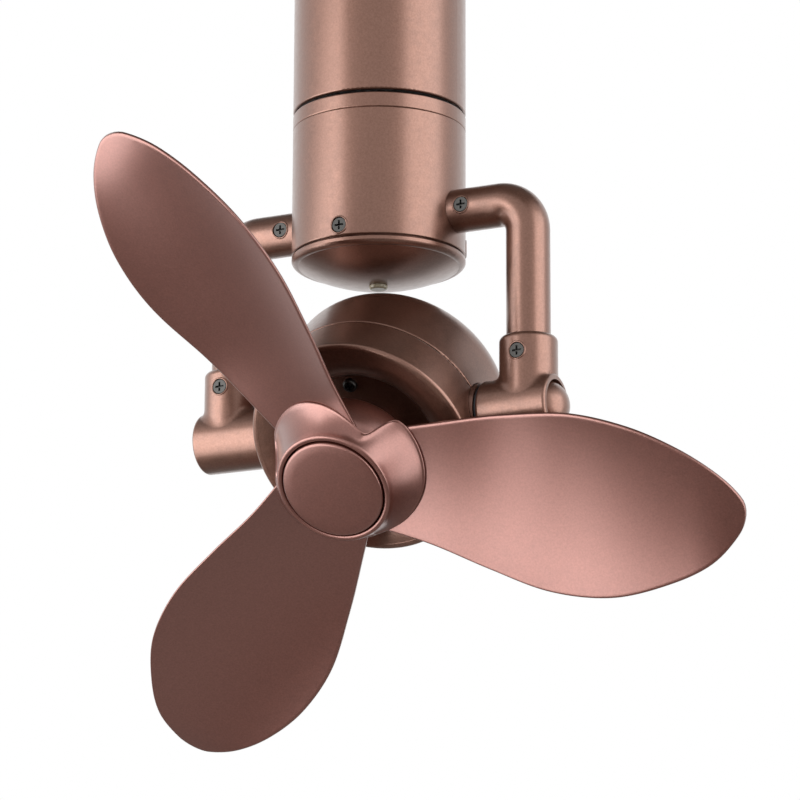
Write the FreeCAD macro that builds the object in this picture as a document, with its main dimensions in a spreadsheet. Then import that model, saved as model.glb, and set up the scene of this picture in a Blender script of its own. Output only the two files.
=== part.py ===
import FreeCAD, Part
import math
import os
from types import SimpleNamespace

import Sketcher
from FreeCAD import Placement, Rotation, Vector
from fcgear import fcgear, involute

# Ceiling fan: a column on the ceiling, a lower half that swings about it, a fork of two bent
# tubes, and a drum motor with three blades that tilts in the fork.
# Frame: origin on the ceiling at the column's axis, +Z up, the fan faces -Y.

# Driving dimensions in millimetres.
lengths = {
    # gaps between pieces that fit together, and how far a cut runs past a face
    "fit": 0.1,
    "running_gap": 0.05,
    "side_gap": 0.3,
    "overrun": 3.0,
    "edge_round": 0.8,
    # column
    "column_radius": 44.0,
    "column_wall": 1.8,
    "upper_height": 110.0,
    "ceiling_gap": 0.5,
    "swivel_gap": 1.6,
    "lid_height": 7.9,
    "lower_height": 66.0,
    "pivot_drop": 87.1,
    # ceiling plate and the studs that hang the carrier plate
    "plate_thickness": 3.0,
    "plate_skirt": 14.0,
    "plate_wall": 3.0,
    "cable_hole_radius": 9.0,
    "ceiling_hole_radius": 2.6,
    "ceiling_hole_inset": 16.1,
    "housing_screw_drop": 8.0,
    "stud_radius": 3.5,
    "stud_pin_radius": 2.0,
    "stud_inset": 8.1,
    # carrier plate and hollow spindle
    "carrier_thickness": 4.0,
    "carrier_skirt": 10.0,
    "carrier_wall": 2.0,
    "carrier_recess": 1.0,
    "spindle_radius": 10.0,
    "spindle_bore": 7.0,
    "spindle_flange_inset": 20.1,
    "spindle_flange": 3.0,
    "spindle_tail": 1.5,
    # terminal block
    "terminal_length": 26.0,
    "terminal_width": 14.0,
    "terminal_height": 13.0,
    "terminal_hole_radius": 2.0,
    # swivel bearing, spindle nut
    "bearing_radius": 16.0,
    "bearing_width": 7.0,
    "bearing_ring": 1.8,
    "bearing_lip": 2.0,
    "nut_flats": 25.0,
    "nut_height": 5.0,
    # swing gears and motor
    "gear_module": 1.0,
    "gear_width": 6.0,
    "gear_backlash": 0.25,
    "pinion_shaft_radius": 2.5,
    "pinion_shaft_sink": 8.0,
    "swing_motor_wall_gap": 0.45,
    "swing_motor_height": 19.0,
    "swing_motor_gap": 0.8,
    "ear_overhang": 3.5,
    "ear_half_width": 3.5,
    "ear_thickness": 1.0,
    "pillar_radius": 3.0,
    "small_screw_radius": 1.5,
    "small_screw_length": 9.0,
    "small_head_radius": 2.8,
    "small_head_height": 1.8,
    # swivel lid and bottom cap
    "lid_plate": 3.0,
    "lid_boss_wall": 5.0,
    "spigot_height": 9.0,
    "spigot_wall": 3.0,
    "cap_groove": 1.2,
    "cap_groove_depth": 1.4,
    "cap_rim": 1.6,
    "cap_rim_round": 3.4,
    "cap_depth": 13.5,
    "cap_wall": 2.0,
    "cap_screw_rise": 5.6,
    "board_inset": 5.1,
    "board_thickness": 1.6,
    "board_drop": 2.0,
    "board_post_radius": 3.0,
    "board_post_inset": 5.0,
    "board_part_height": 9.0,
    "lens_radius": 4.7,
    "lens_flange": 1.3,
    "lens_rise": 2.0,
    # screws of the column, arms and tees
    "screw_radius": 2.0,
    "screw_length": 6.5,
    "screw_head_radius": 3.65,
    "screw_head_height": 2.4,
    "screw_sink": 0.9,
    "screw_slot_width": 0.9,
    "screw_slot_length": 4.2,
    "screw_slot_depth": 1.4,
    # bent arms and the spigots that carry them
    "tube_radius": 11.0,
    "tube_wall": 1.5,
    "arm_rise": 18.7,
    "arm_offset": 24.2,
    "bend_radius": 15.0,
    "arm_screw_offset": 7.0,
    "arm_spigot_inset": 9.0,
    "arm_spigot_wall": 2.4,
    "arm_flange_radius": 13.0,
    "arm_flange": 5.0,
    # tees
    "socket_radius": 14.5,
    "socket_top": 36.0,
    "socket_floor": 19.0,
    "socket_shoulder": 3.0,
    "tee_screw_rise": 26.0,
    "barrel_radius": 15.5,
    "barrel_past": 15.2,
    "barrel_round": 1.6,
    "chamber_radius": 12.7,
    "chamber_inset": 11.0,
    "cable_way_radius": 4.0,
    "bush_radius": 9.5,
    "bush_flange_radius": 14.0,
    "bush_flange": 1.0,
    "cap_ball_radius": 13.1,
    "cap_ball_past": 7.8,
    "cap_plug_depth": 5.0,
    "cap_shell": 1.6,
    # trunnions and what clamps them
    "trunnion_radius": 7.0,
    "trunnion_bore": 4.0,
    "trunnion_flange_radius": 15.0,
    "trunnion_proud": 0.5,
    "trunnion_sink": 2.6,
    "trunnion_past": 2.0,
    "friction_washer": 1.5,
    "friction_washer_radius": 11.5,
    "spring_height": 3.2,
    "spring_sheet": 1.2,
    "pivot_nut_flats": 19.0,
    "pivot_nut_height": 5.0,
    # motor drum; s is measured along the motor's axis from the tilt axis to the front
    "drum_radius": 58.8,
    "drum_taper": 0.6,
    "drum_wall": 2.0,
    "drum_seam": 0.6,
    "drum_front": 24.0,
    "drum_rim_round": 2.2,
    "drum_rim_width": 3.4,
    "dish_floor": 13.0,
    "dish_floor_radius": 36.0,
    "dish_hole_radius": 13.0,
    "front_screw_circle": 30.5,
    "rear_straight": 26.0,
    "rear_corner": 18.0,
    "rear_screw_circle": 33.0,
    "rear_screw_length": 14.0,
    # motor
    "frame_wall": 5.0,
    "frame_front": 10.5,
    "frame_back": 26.0,
    "bracket_thickness": 3.0,
    "bracket_boss_radius": 15.0,
    "motor_bearing_radius": 11.0,
    "motor_bearing_width": 7.0,
    "shaft_radius": 4.0,
    "stator_front": -6.0,
    "stator_stack": 18.0,
    "stator_bore": 27.0,
    "stator_yoke": 6.0,
    "slot_half_width": 4.2,
    "slot_mouth": 1.4,
    "tooth_tip": 3.0,
    "coil_overhang": 5.0,
    "air_gap": 0.5,
    # hub
    "hub_back": 39.0,
    "hub_radius": 40.0,
    "hub_front": 60.6,
    "hub_nose_radius": 27.6,
    "hub_shoulder": 60.0,
    "hub_boss_radius": 11.0,
    "hub_boss_back": 17.0,
    "collar_wall": 1.6,
    "collar_front": 64.0,
    "collar_ring_wall": 3.0,
    "valley_depth": 3.0,
    "hub_cap_radius": 24.2,
    "hub_cap_gap": 0.8,
    "hub_cap_front": 65.6,
    "hub_cap_round": 1.2,
    "hub_cap_wall": 2.0,
    "hub_nut_flats": 13.0,
    "hub_nut_height": 6.0,
    "blade_screw_circle": 30.0,
    "blade_screw_spread": 7.0,
    "blade_screw_length": 12.0,
    # blades
    "blade_reach": 203.2,
    "blade_thickness": 2.4,
    "blade_offset": 46.9,
    "blade_root": 20.0,
    "tab_width": 20.0,
    "tab_thickness": 1.8,
    "tab_end": 46.0,
}
angles = {"tilt_angle": 41.67, "blade_lag_angle": 12.0, "pressure_angle": 20.0, "crown_angle": 20.0}
counts = {"sun_teeth": 36, "pinion_teeth": 12, "slot_count": 12, "ball_count": 12}

# Blade planform: leading edge out to the tip and trailing edge back, as shares of the reach
# along the blade and across it.
planform_shares = (
    (0.089, 0.105), (0.22, 0.132), (0.403, 0.170), (0.575, 0.200), (0.722, 0.188), (0.844, 0.146),
    (0.937, 0.088), (0.992, 0.026), (1.0, -0.014), (0.985, -0.060), (0.922, -0.131), (0.817, -0.187),
    (0.683, -0.227), (0.530, -0.229), (0.372, -0.193), (0.224, -0.151), (0.089, -0.125),
)
# Blade sheet: place along the blade, bow to the front, fall per unit of width and half width.
sheet_shares = (
    (0.05, 0.0, 0.300, 0.130), (0.221, 0.0, 0.300, 0.142), (0.374, 0.0054, 0.289, 0.180),
    (0.531, 0.0231, 0.239, 0.213), (0.689, 0.0344, 0.198, 0.207), (0.837, 0.0335, 0.164, 0.166),
    (0.935, 0.0245, 0.155, 0.110), (1.02, 0.0020, 0.150, 0.030),
)
sheet_width_shares = (-0.26, -0.13, 0.0, 0.13, 0.26)
camber_share = 0.44
# Parts of the control board: place along and across, length, width and height.
board_part_shares = (
    (-0.55, -0.3, 0.45, 0.6, 1.0), (0.05, 0.1, 0.5, 0.35, 0.5), (0.1, -0.5, 0.3, 0.3, 0.7),
)
terminal_way_shares = (-0.3, 0.0, 0.3)
middle_share = 0.5
head_round_share = 0.6
terminal_level_share = 0.35
terminal_floor_share = 0.6
nut_collar_share = 0.3
dome_edge_share = 0.62
post_foot_share = 0.45
hub_shoulder_share = 0.34

doc = FreeCAD.newDocument("ceiling_fan")
sheet = doc.addObject("Spreadsheet::Sheet", "Sizes")
for row, (alias, number) in enumerate({**lengths, **angles, **counts}.items(), 1):
    sheet.set(f"A{row}", alias)
    sheet.set(f"B{row}", str(number))
    sheet.setAlias(f"B{row}", alias)
doc.recompute()


class Length:
    # A size as its number and as the expression that binds it to the sheet.
    def __init__(self, value, text):
        self.value = value
        self.text = text

    def __add__(self, other):
        return Length(self.value + other.value, f"({self.text} + {other.text})")

    def __sub__(self, other):
        return Length(self.value - other.value, f"({self.text} - {other.text})")

    def __mul__(self, factor):
        return Length(self.value * factor, f"({self.text} * {factor})")

    def __neg__(self):
        return self * -1


size = SimpleNamespace(**{name: Length(sheet.get(name), f"Sizes.{name}") for name in lengths})
angle = SimpleNamespace(**{name: sheet.get(name) for name in angles})
count = SimpleNamespace(**{name: int(sheet.get(name)) for name in counts})
zero = Length(0.0, "0")
match_share = 1e-6

along_x = Vector(1, 0, 0)
along_y = Vector(0, 1, 0)
along_z = Vector(0, 0, 1)
upright = Rotation()
facing_right = Rotation(along_z, along_x)
facing_left = Rotation(along_z, -along_x)
facing_front = Rotation(along_z, -along_y)
facing_down = Rotation(along_x, 180)
motor_turn = Rotation(along_x, 90 + angle.tilt_angle)
sides = {"left": -1, "right": 1}
outward = {"left": facing_left, "right": facing_right}

# Levels below the ceiling.
upper_bottom = -size.upper_height
lid_top = upper_bottom - size.swivel_gap
lid_bottom = lid_top - size.lid_height
lower_bottom = lid_bottom - size.lower_height
pivot_level = lower_bottom - size.pivot_drop
arm_level = lower_bottom + size.arm_rise
carrier_bottom = upper_bottom + size.carrier_recess
carrier_top = carrier_bottom + size.carrier_thickness
bearing_top = lid_top - size.lid_plate
bearing_bottom = bearing_top - size.bearing_width
gear_top = bearing_bottom - size.nut_height - size.fit
gear_bottom = gear_top - size.gear_width
spindle_bottom = gear_bottom - size.spindle_tail
ear_top = gear_bottom - size.swing_motor_gap
motor_top = ear_top - size.ear_thickness

# Radii inside the column and the place of the swing motor.
column_inside = size.column_radius - size.column_wall
fitted_radius = column_inside - size.fit
ceiling_hole_circle = fitted_radius - size.ceiling_hole_inset
stud_circle = fitted_radius - size.stud_inset
spindle_flange_radius = fitted_radius - size.spindle_flange_inset
board_radius = fitted_radius - size.spigot_wall - size.board_inset
board_post_circle = board_radius - size.board_post_inset
gear_distance = size.gear_module * ((count.sun_teeth + count.pinion_teeth) / 2) + size.gear_backlash
swing_motor_radius = fitted_radius - size.spigot_wall - gear_distance - size.swing_motor_wall_gap
ear_reach = swing_motor_radius + size.ear_overhang

# Radii of the drum, and places out from the middle of the fork.
drum_rim_radius = size.drum_radius - size.drum_taper
frame_outside = drum_rim_radius - size.drum_wall - size.fit
frame_inside = frame_outside - size.frame_wall
tube_inside = size.tube_radius - size.tube_wall
arm_reach = size.drum_radius + size.arm_offset
arm_screw_reach = size.column_radius + size.arm_screw_offset
arm_spigot_reach = arm_reach - size.bend_radius - size.arm_spigot_inset
barrel_end = arm_reach + size.barrel_past
chamber_start = arm_reach - size.chamber_inset
cap_ball_reach = arm_reach + size.cap_ball_past
trunnion_face = size.drum_radius + size.trunnion_proud
trunnion_seat = frame_outside - size.trunnion_sink
trunnion_end = arm_reach + size.trunnion_past


def bind_place(item, base, turn):
    # Puts an item at a base point that follows the sheet, turned as given.
    item.Placement = Placement(Vector(*[length.value for length in base]), turn)
    for letter, length in zip("xyz", base):
        item.setExpression(f"Placement.Base.{letter}", length.text)


def origin_feature(body, role):
    return next(item for item in body.Origin.OriginFeatures if item.Role == role)


def new_body(label, base=(zero, zero, zero), turn=upright):
    body = doc.addObject("PartDesign::Body", label)
    bind_place(body, base, turn)
    return body


def new_sketch(body, name, plane, lift=zero):
    sketch = body.newObject("Sketcher::SketchObject", f"{body.Label}_{name}")
    sketch.AttachmentSupport = [(origin_feature(body, plane), "")]
    sketch.MapMode = "FlatFace"
    sketch.setExpression("AttachmentOffset.Base.z", lift.text)
    return sketch


def arc_between(start, end, radius, turning):
    # Arc of a circle from start to end, turning +1 anticlockwise or -1 clockwise.
    chord = end - start
    middle = (start + end) * 0.5
    rise = math.sqrt(max(radius ** 2 - (chord.Length / 2) ** 2, 0))
    centre = middle + Vector(-chord.y, chord.x, 0).normalize() * rise * turning
    first, last = (start, end) if turning > 0 else (end, start)
    from_angle = math.atan2(first.y - centre.y, first.x - centre.x)
    to_angle = math.atan2(last.y - centre.y, last.x - centre.x)
    return Part.ArcOfCircle(Part.Circle(centre, along_z, radius), from_angle, to_angle)


def pin_point(sketch, edge, end, spot):
    # Holds one end of an edge at a spot measured from the sketch's origin.
    for kind, axis, length in (("DistanceX", -2, spot[0]), ("DistanceY", -1, spot[1])):
        if length.text == zero.text:
            sketch.addConstraint(Sketcher.Constraint("PointOnObject", edge, end, axis))
        else:
            index = sketch.addConstraint(Sketcher.Constraint(kind, -1, 1, edge, end, length.value))
            sketch.setExpression(f"Constraints[{index}]", length.text)


def draw_path(sketch, corners, closed):
    # Lines and arcs through corners; an arc's corner adds its radius and its turning.
    spots = [Vector(corner[0].value, corner[1].value, 0) for corner in corners]
    ends = []
    for index in range(0 if closed else 1, len(corners)):
        corner = corners[index]
        start, end = spots[index - 1], spots[index]
        turning = corner[3] if len(corner) > 2 else 1
        if len(corner) > 2:
            edge = sketch.addGeometry(arc_between(start, end, corner[2].value, turning))
        else:
            edge = sketch.addGeometry(Part.LineSegment(start, end))
        ends.append((edge, 1, 2) if turning > 0 else (edge, 2, 1))
    joints = list(zip(ends, ends[1:] + ends[:1])) if closed else list(zip(ends, ends[1:]))
    for (edge, _, last), (following, first, _) in joints:
        sketch.addConstraint(Sketcher.Constraint("Coincident", edge, last, following, first))
    if not closed:
        pin_point(sketch, ends[0][0], ends[0][1], corners[0])
    for (edge, _, last), corner in zip(ends, corners if closed else corners[1:]):
        pin_point(sketch, edge, last, corner)
        if len(corner) > 2:
            index = sketch.addConstraint(Sketcher.Constraint("Radius", edge, corner[2].value))
            sketch.setExpression(f"Constraints[{index}]", corner[2].text)


def draw_circle(sketch, radius):
    edge = sketch.addGeometry(Part.Circle(Vector(), along_z, radius.value))
    sketch.addConstraint(Sketcher.Constraint("Coincident", edge, 3, -1, 1))
    index = sketch.addConstraint(Sketcher.Constraint("Radius", edge, radius.value))
    sketch.setExpression(f"Constraints[{index}]", radius.text)


def turned(label, corners, base=(zero, zero, zero), turn=upright):
    # A body of revolution about its own Z axis from an outline of radius and level.
    body = new_body(label, base, turn)
    sketch = new_sketch(body, "profile", "XZ_Plane")
    draw_path(sketch, corners, closed=True)
    revolution = body.newObject("PartDesign::Revolution", f"{label}_turned")
    revolution.Profile = sketch
    revolution.ReferenceAxis = (sketch, ["V_Axis"])
    revolution.Angle = 360
    return body


def ring_outline(inner, outer, low, high):
    return [(inner, low), (outer, low), (outer, high), (inner, high)]


def cylinder(body, kind, radius, height, base, turn=upright):
    # Adds or cuts a cylinder, kind "Additive" or "Subtractive", from a base along its turn.
    item = body.newObject(f"PartDesign::{kind}Cylinder", f"{body.Label}_{kind}")
    item.setExpression("Radius", radius.text)
    item.setExpression("Height", height.text)
    bind_place(item, base, turn)
    return item


def box(body, kind, spans, base):
    item = body.newObject(f"PartDesign::{kind}Box", f"{body.Label}_{kind}")
    for side, length in zip(("Length", "Width", "Height"), spans):
        item.setExpression(side, length.text)
    bind_place(item, base, upright)
    return item


def repeat_round(body, features, times):
    pattern = body.newObject("PartDesign::PolarPattern", f"{body.Label}_round")
    pattern.Originals = features
    pattern.Axis = (origin_feature(body, "Z_Axis"), [""])
    pattern.Angle = 360
    pattern.Occurrences = times
    body.Tip = pattern


def is_ring(edge, radius, level):
    slack = match_share * size.blade_reach.value
    if edge.Degenerated or not isinstance(edge.Curve, Part.Circle):
        return False
    centre = edge.Curve.Center
    on_axis = math.hypot(centre.x, centre.y) < slack
    return on_axis and abs(edge.Curve.Radius - radius.value) < slack and abs(centre.z - level.value) < slack


def round_edges(body, radius, wanted):
    # Rounds the edges of the body so far that the test wants.
    doc.recompute()
    base = body.Tip
    names = [f"Edge{index}" for index, edge in enumerate(base.Shape.Edges, 1) if wanted(edge)]
    fillet = body.newObject("PartDesign::Fillet", f"{body.Label}_rounded")
    fillet.Base = (base, names)
    fillet.setExpression("Radius", radius.text)


def round_rings(body, radius, rings):
    # Rounds the circular edges about Z at the given radius and level.
    round_edges(body, radius, lambda edge: any(is_ring(edge, *ring) for ring in rings))


def shape_item(label, shape, base=(zero, zero, zero), turn=upright):
    item = doc.addObject("Part::Feature", label)
    item.Shape = shape
    bind_place(item, base, turn)
    return item


# Fasteners


def screw_shape(radius, length, head_radius, head_height):
    # Cross-head screw, axis Z: head above 0, shank below.
    shank = Part.makeCylinder(radius.value, length.value, Vector(0, 0, -length.value))
    head = Part.makeCylinder(head_radius.value, head_height.value)
    crown = [edge for edge in head.Edges if edge.BoundBox.ZMin > head_height.value * middle_share]
    head = head.makeFillet(head_height.value * head_round_share, crown)
    scale = head_radius.value / size.screw_head_radius.value
    width = size.screw_slot_width.value * scale
    reach = size.screw_slot_length.value * scale
    depth = size.screw_slot_depth.value * head_height.value / size.screw_head_height.value
    for across, along in ((width, reach), (reach, width)):
        corner = Vector(-across / 2, -along / 2, head_height.value - depth)
        head = head.cut(Part.makeBox(across, along, depth + size.overrun.value, corner))
    return head.fuse(shank)


def placed_copies(shape, places):
    copies = []
    for place in places:
        copy = shape.copy()
        copy.Placement = place
        copies.append(copy)
    return Part.makeCompound(copies)


def column_screw():
    return screw_shape(size.screw_radius, size.screw_length, size.screw_head_radius, size.screw_head_height)


def round_places(radius, level, times, first_angle):
    # Places on a circle about Z with the screw's head facing outward.
    places = []
    for index in range(times):
        turn = Rotation(along_z, first_angle + 360 * index / times)
        spot = turn.multVec(Vector(radius.value, 0, level.value))
        places.append(Placement(spot, turn.multiply(facing_right)))
    return places


def ring_places(radius, level, times, first_angle, turn=upright):
    # Places on a circle about Z with the screw's axis along Z, or turned over.
    places = []
    for index in range(times):
        spot = Rotation(along_z, first_angle + 360 * index / times).multVec(Vector(radius.value, 0, 0))
        places.append(Placement(spot + Vector(0, 0, level.value), turn))
    return places


def side_hole(body, radius, level, from_radius, times, sink_radius, sink_from):
    # Screw holes in a round wall, the first one at the front, with sunk seats for the heads.
    depth = from_radius + size.overrun
    hole = cylinder(body, "Subtractive", radius, depth, (zero, -(from_radius + size.overrun), level),
                    Rotation(along_z, along_y))
    seat_depth = from_radius + size.overrun - sink_from
    seat = cylinder(body, "Subtractive", sink_radius, seat_depth,
                    (zero, -(from_radius + size.overrun), level), Rotation(along_z, along_y))
    repeat_round(body, [hole, seat], times)


# Ceiling side


def ceiling_plate():
    inner = fitted_radius - size.plate_wall
    body = turned("ceiling_plate", [
        (size.cable_hole_radius, zero), (fitted_radius, zero), (fitted_radius, -size.plate_skirt),
        (inner, -size.plate_skirt), (inner, -size.plate_thickness),
        (size.cable_hole_radius, -size.plate_thickness),
    ])
    hole = cylinder(body, "Subtractive", size.ceiling_hole_radius, size.plate_thickness + size.overrun * 2,
                    (ceiling_hole_circle, zero, -(size.plate_thickness + size.overrun)))
    repeat_round(body, [hole], 4)
    thread = cylinder(body, "Subtractive", size.screw_radius + size.fit, size.column_radius,
                      (zero, -size.column_radius, -size.housing_screw_drop), Rotation(along_z, along_y))
    repeat_round(body, [thread], 3)
    return body


def upper_housing():
    body = turned("upper_housing",
                  ring_outline(column_inside, size.column_radius, upper_bottom, -size.ceiling_gap))
    side_hole(body, size.screw_radius + size.fit, -size.housing_screw_drop, size.column_radius, 3,
              size.screw_head_radius + size.side_gap, size.column_radius - size.screw_sink)
    round_rings(body, size.edge_round, [(size.column_radius, upper_bottom)])
    return body


def housing_screws():
    places = round_places(size.column_radius - size.screw_sink, -size.housing_screw_drop, 3, -90)
    return shape_item("housing_screws", placed_copies(column_screw(), places))


def tie_studs():
    pin = size.stud_pin_radius.value
    stud = Part.makeCylinder(size.stud_radius.value, -size.plate_thickness.value - carrier_top.value,
                             Vector(0, 0, carrier_top.value))
    stud = stud.fuse(Part.makeCylinder(pin, size.carrier_thickness.value, Vector(0, 0, carrier_bottom.value)))
    return shape_item("tie_studs", placed_copies(stud, ring_places(stud_circle, zero, 3, 90)))


def carrier_plate():
    inner = fitted_radius - size.carrier_wall
    hole = size.spindle_radius + size.fit
    body = turned("carrier_plate", [
        (hole, carrier_bottom), (fitted_radius, carrier_bottom),
        (fitted_radius, carrier_top + size.carrier_skirt), (inner, carrier_top + size.carrier_skirt),
        (inner, carrier_top), (hole, carrier_top),
    ])
    stud_hole = cylinder(body, "Subtractive", size.stud_pin_radius + size.fit,
                         size.carrier_thickness + size.overrun * 2,
                         (zero, stud_circle, carrier_bottom - size.overrun))
    repeat_round(body, [stud_hole], 3)
    return body


def spindle():
    # Hollow spindle, hung by its flange on the carrier plate.
    flange_top = carrier_top + size.spindle_flange
    return turned("spindle", [
        (size.spindle_bore, spindle_bottom), (size.spindle_radius, spindle_bottom),
        (size.spindle_radius, carrier_top), (spindle_flange_radius, carrier_top),
        (spindle_flange_radius, flange_top), (size.spindle_bore, flange_top),
    ])


def terminal_block():
    # Three-pole block on the carrier plate, beside the spindle's flange.
    front = spindle_flange_radius + size.side_gap + size.terminal_width
    body = new_body("terminal_block", (zero, -front, carrier_top))
    box(body, "Additive", (size.terminal_length, size.terminal_width, size.terminal_height),
        (-size.terminal_length * middle_share, zero, zero))
    for place_share in terminal_way_shares:
        way = size.terminal_length * place_share
        cylinder(body, "Subtractive", size.terminal_hole_radius, size.terminal_width + size.overrun * 2,
                 (way, -size.overrun, size.terminal_height * terminal_level_share),
                 Rotation(along_z, along_y))
        cylinder(body, "Subtractive", size.terminal_hole_radius, size.terminal_height * middle_share,
                 (way, size.terminal_width * middle_share, size.terminal_height * terminal_floor_share))
    return body


def swivel_bearing_inner():
    bore = size.spindle_radius + size.running_gap
    return turned("swivel_bearing_inner",
                  ring_outline(bore, size.spindle_radius + size.bearing_ring, bearing_bottom, bearing_top))


def swivel_bearing_outer():
    bore = size.bearing_radius - size.bearing_ring
    outside = size.bearing_radius - size.running_gap
    return turned("swivel_bearing_outer", ring_outline(bore, outside, bearing_bottom, bearing_top))


def swivel_bearing_balls():
    inner = size.spindle_radius + size.bearing_ring
    outer = size.bearing_radius - size.bearing_ring
    ball = Part.makeSphere((outer - inner).value / 2 - size.running_gap.value)
    circle = (inner + outer) * middle_share
    level = (bearing_top + bearing_bottom) * middle_share
    places = ring_places(circle, level, count.ball_count, 0)
    return shape_item("swivel_bearing_balls", placed_copies(ball, places))


def hex_nut(flats, bore, low, high):
    # Hexagon prism with a bore, axis Z, between two levels.
    corner = flats.value / math.sqrt(3)
    points = [Vector(corner * math.cos(math.radians(60 * side)), corner * math.sin(math.radians(60 * side)),
                     low.value) for side in range(7)]
    prism = Part.Face(Part.makePolygon(points)).extrude(Vector(0, 0, high.value - low.value))
    return prism.cut(Part.makeCylinder(bore.value, high.value - low.value, Vector(0, 0, low.value)))


def spindle_nut():
    # Carries the bearing's inner ring; its top is a narrow collar that clears the outer ring.
    bore = size.spindle_radius + size.running_gap
    collar_height = size.nut_height * nut_collar_share
    collar_bottom = bearing_bottom - collar_height
    nut = hex_nut(size.nut_flats, bore, bearing_bottom - size.nut_height, collar_bottom)
    collar = Part.makeCylinder(size.spindle_radius.value + size.bearing_ring.value, collar_height.value,
                               Vector(0, 0, collar_bottom.value))
    collar = collar.cut(Part.makeCylinder(bore.value, size.nut_height.value,
                                          Vector(0, 0, collar_bottom.value)))
    return shape_item("spindle_nut", nut.fuse(collar).removeSplitter())


def gear_shape(teeth):
    # Involute gear of the shared module and width, standing on Z = 0.
    builder = fcgear.FCWireBuilder()
    involute.CreateExternalGear(builder, size.gear_module.value, teeth, angle.pressure_angle, True)
    outline = Part.Wire([piece.toShape() for piece in builder.wire])
    return Part.Face(outline).extrude(Vector(0, 0, size.gear_width.value))


def sun_gear():
    bore = size.spindle_radius + size.running_gap
    shape = gear_shape(count.sun_teeth).cut(Part.makeCylinder(bore.value, size.gear_width.value))
    return shape_item("sun_gear", shape, (zero, zero, gear_bottom), Rotation(along_z, 90))


# Swing drive


def drive_pinion():
    # Pinion in one piece with the shaft that enters the swing motor.
    turn = Rotation(along_z, 90 + 180 / count.pinion_teeth)
    reach = gear_bottom - motor_top + size.pinion_shaft_sink
    shaft = Part.makeCylinder(size.pinion_shaft_radius.value, reach.value, Vector(0, 0, -reach.value))
    shape = gear_shape(count.pinion_teeth).fuse(shaft)
    return shape_item("drive_pinion", shape, (zero, gear_distance, gear_bottom), turn)


def swing_motor():
    bottom = motor_top - size.swing_motor_height
    body = turned("swing_motor", [
        (zero, bottom), (swing_motor_radius, bottom), (swing_motor_radius, motor_top), (zero, motor_top),
    ], (zero, gear_distance, zero))
    reach = ear_reach + size.ear_half_width
    box(body, "Additive", (reach * 2, size.ear_half_width * 2, size.ear_thickness),
        (-reach, -size.ear_half_width, motor_top))
    for side in sides.values():
        cylinder(body, "Subtractive", size.small_screw_radius + size.fit,
                 size.ear_thickness + size.overrun * 2, (ear_reach * side, zero, motor_top - size.overrun))
    cylinder(body, "Subtractive", size.pinion_shaft_radius + size.running_gap,
             size.pinion_shaft_sink + size.ear_thickness, (zero, zero, motor_top - size.pinion_shaft_sink))
    return body


def ear_places(level, turn):
    return [Placement(Vector(ear_reach.value * side, gear_distance.value, level.value), turn)
            for side in sides.values()]


def motor_pillars():
    height = bearing_top.value - ear_top.value
    pillar = Part.makeCylinder(size.pillar_radius.value, height)
    pillar = pillar.cut(Part.makeCylinder(size.small_screw_radius.value + size.fit.value, height))
    return shape_item("motor_pillars", placed_copies(pillar, ear_places(ear_top, upright)))


def swing_motor_screws():
    shape = screw_shape(size.small_screw_radius, size.small_screw_length, size.small_head_radius,
                        size.small_head_height)
    return shape_item("swing_motor_screws", placed_copies(shape, ear_places(motor_top, facing_down)))


# Swinging half of the column


def swivel_lid():
    # Cover ring, plate, bearing seat and the spigot that enters the lower housing.
    hole = size.bearing_radius - size.bearing_lip
    boss = size.bearing_radius + size.lid_boss_wall
    spigot_bottom = lid_bottom - size.spigot_height
    body = turned("swivel_lid", [
        (hole, lid_top), (size.column_radius, lid_top), (size.column_radius, lid_bottom),
        (fitted_radius, lid_bottom), (fitted_radius, spigot_bottom),
        (fitted_radius - size.spigot_wall, spigot_bottom), (fitted_radius - size.spigot_wall, bearing_top),
        (boss, bearing_top), (boss, bearing_bottom), (size.bearing_radius, bearing_bottom),
        (size.bearing_radius, bearing_top), (hole, bearing_top),
    ])
    round_rings(body, size.edge_round, [(size.column_radius, lid_top), (size.column_radius, lid_bottom)])
    return body


def lower_housing():
    body = turned("lower_housing", ring_outline(column_inside, size.column_radius, lower_bottom, lid_bottom))
    side_hole(body, size.screw_radius + size.fit, lower_bottom + size.cap_screw_rise, size.column_radius, 3,
              size.screw_head_radius + size.side_gap, size.column_radius - size.screw_sink)
    cylinder(body, "Subtractive", tube_inside, size.column_radius * 2 + size.overrun * 2,
             (-(size.column_radius + size.overrun), zero, arm_level), facing_right)
    round_rings(body, size.edge_round * middle_share, [(size.column_radius, lid_bottom)])
    round_rings(body, size.edge_round, [(size.column_radius, lower_bottom)])
    return body


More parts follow.
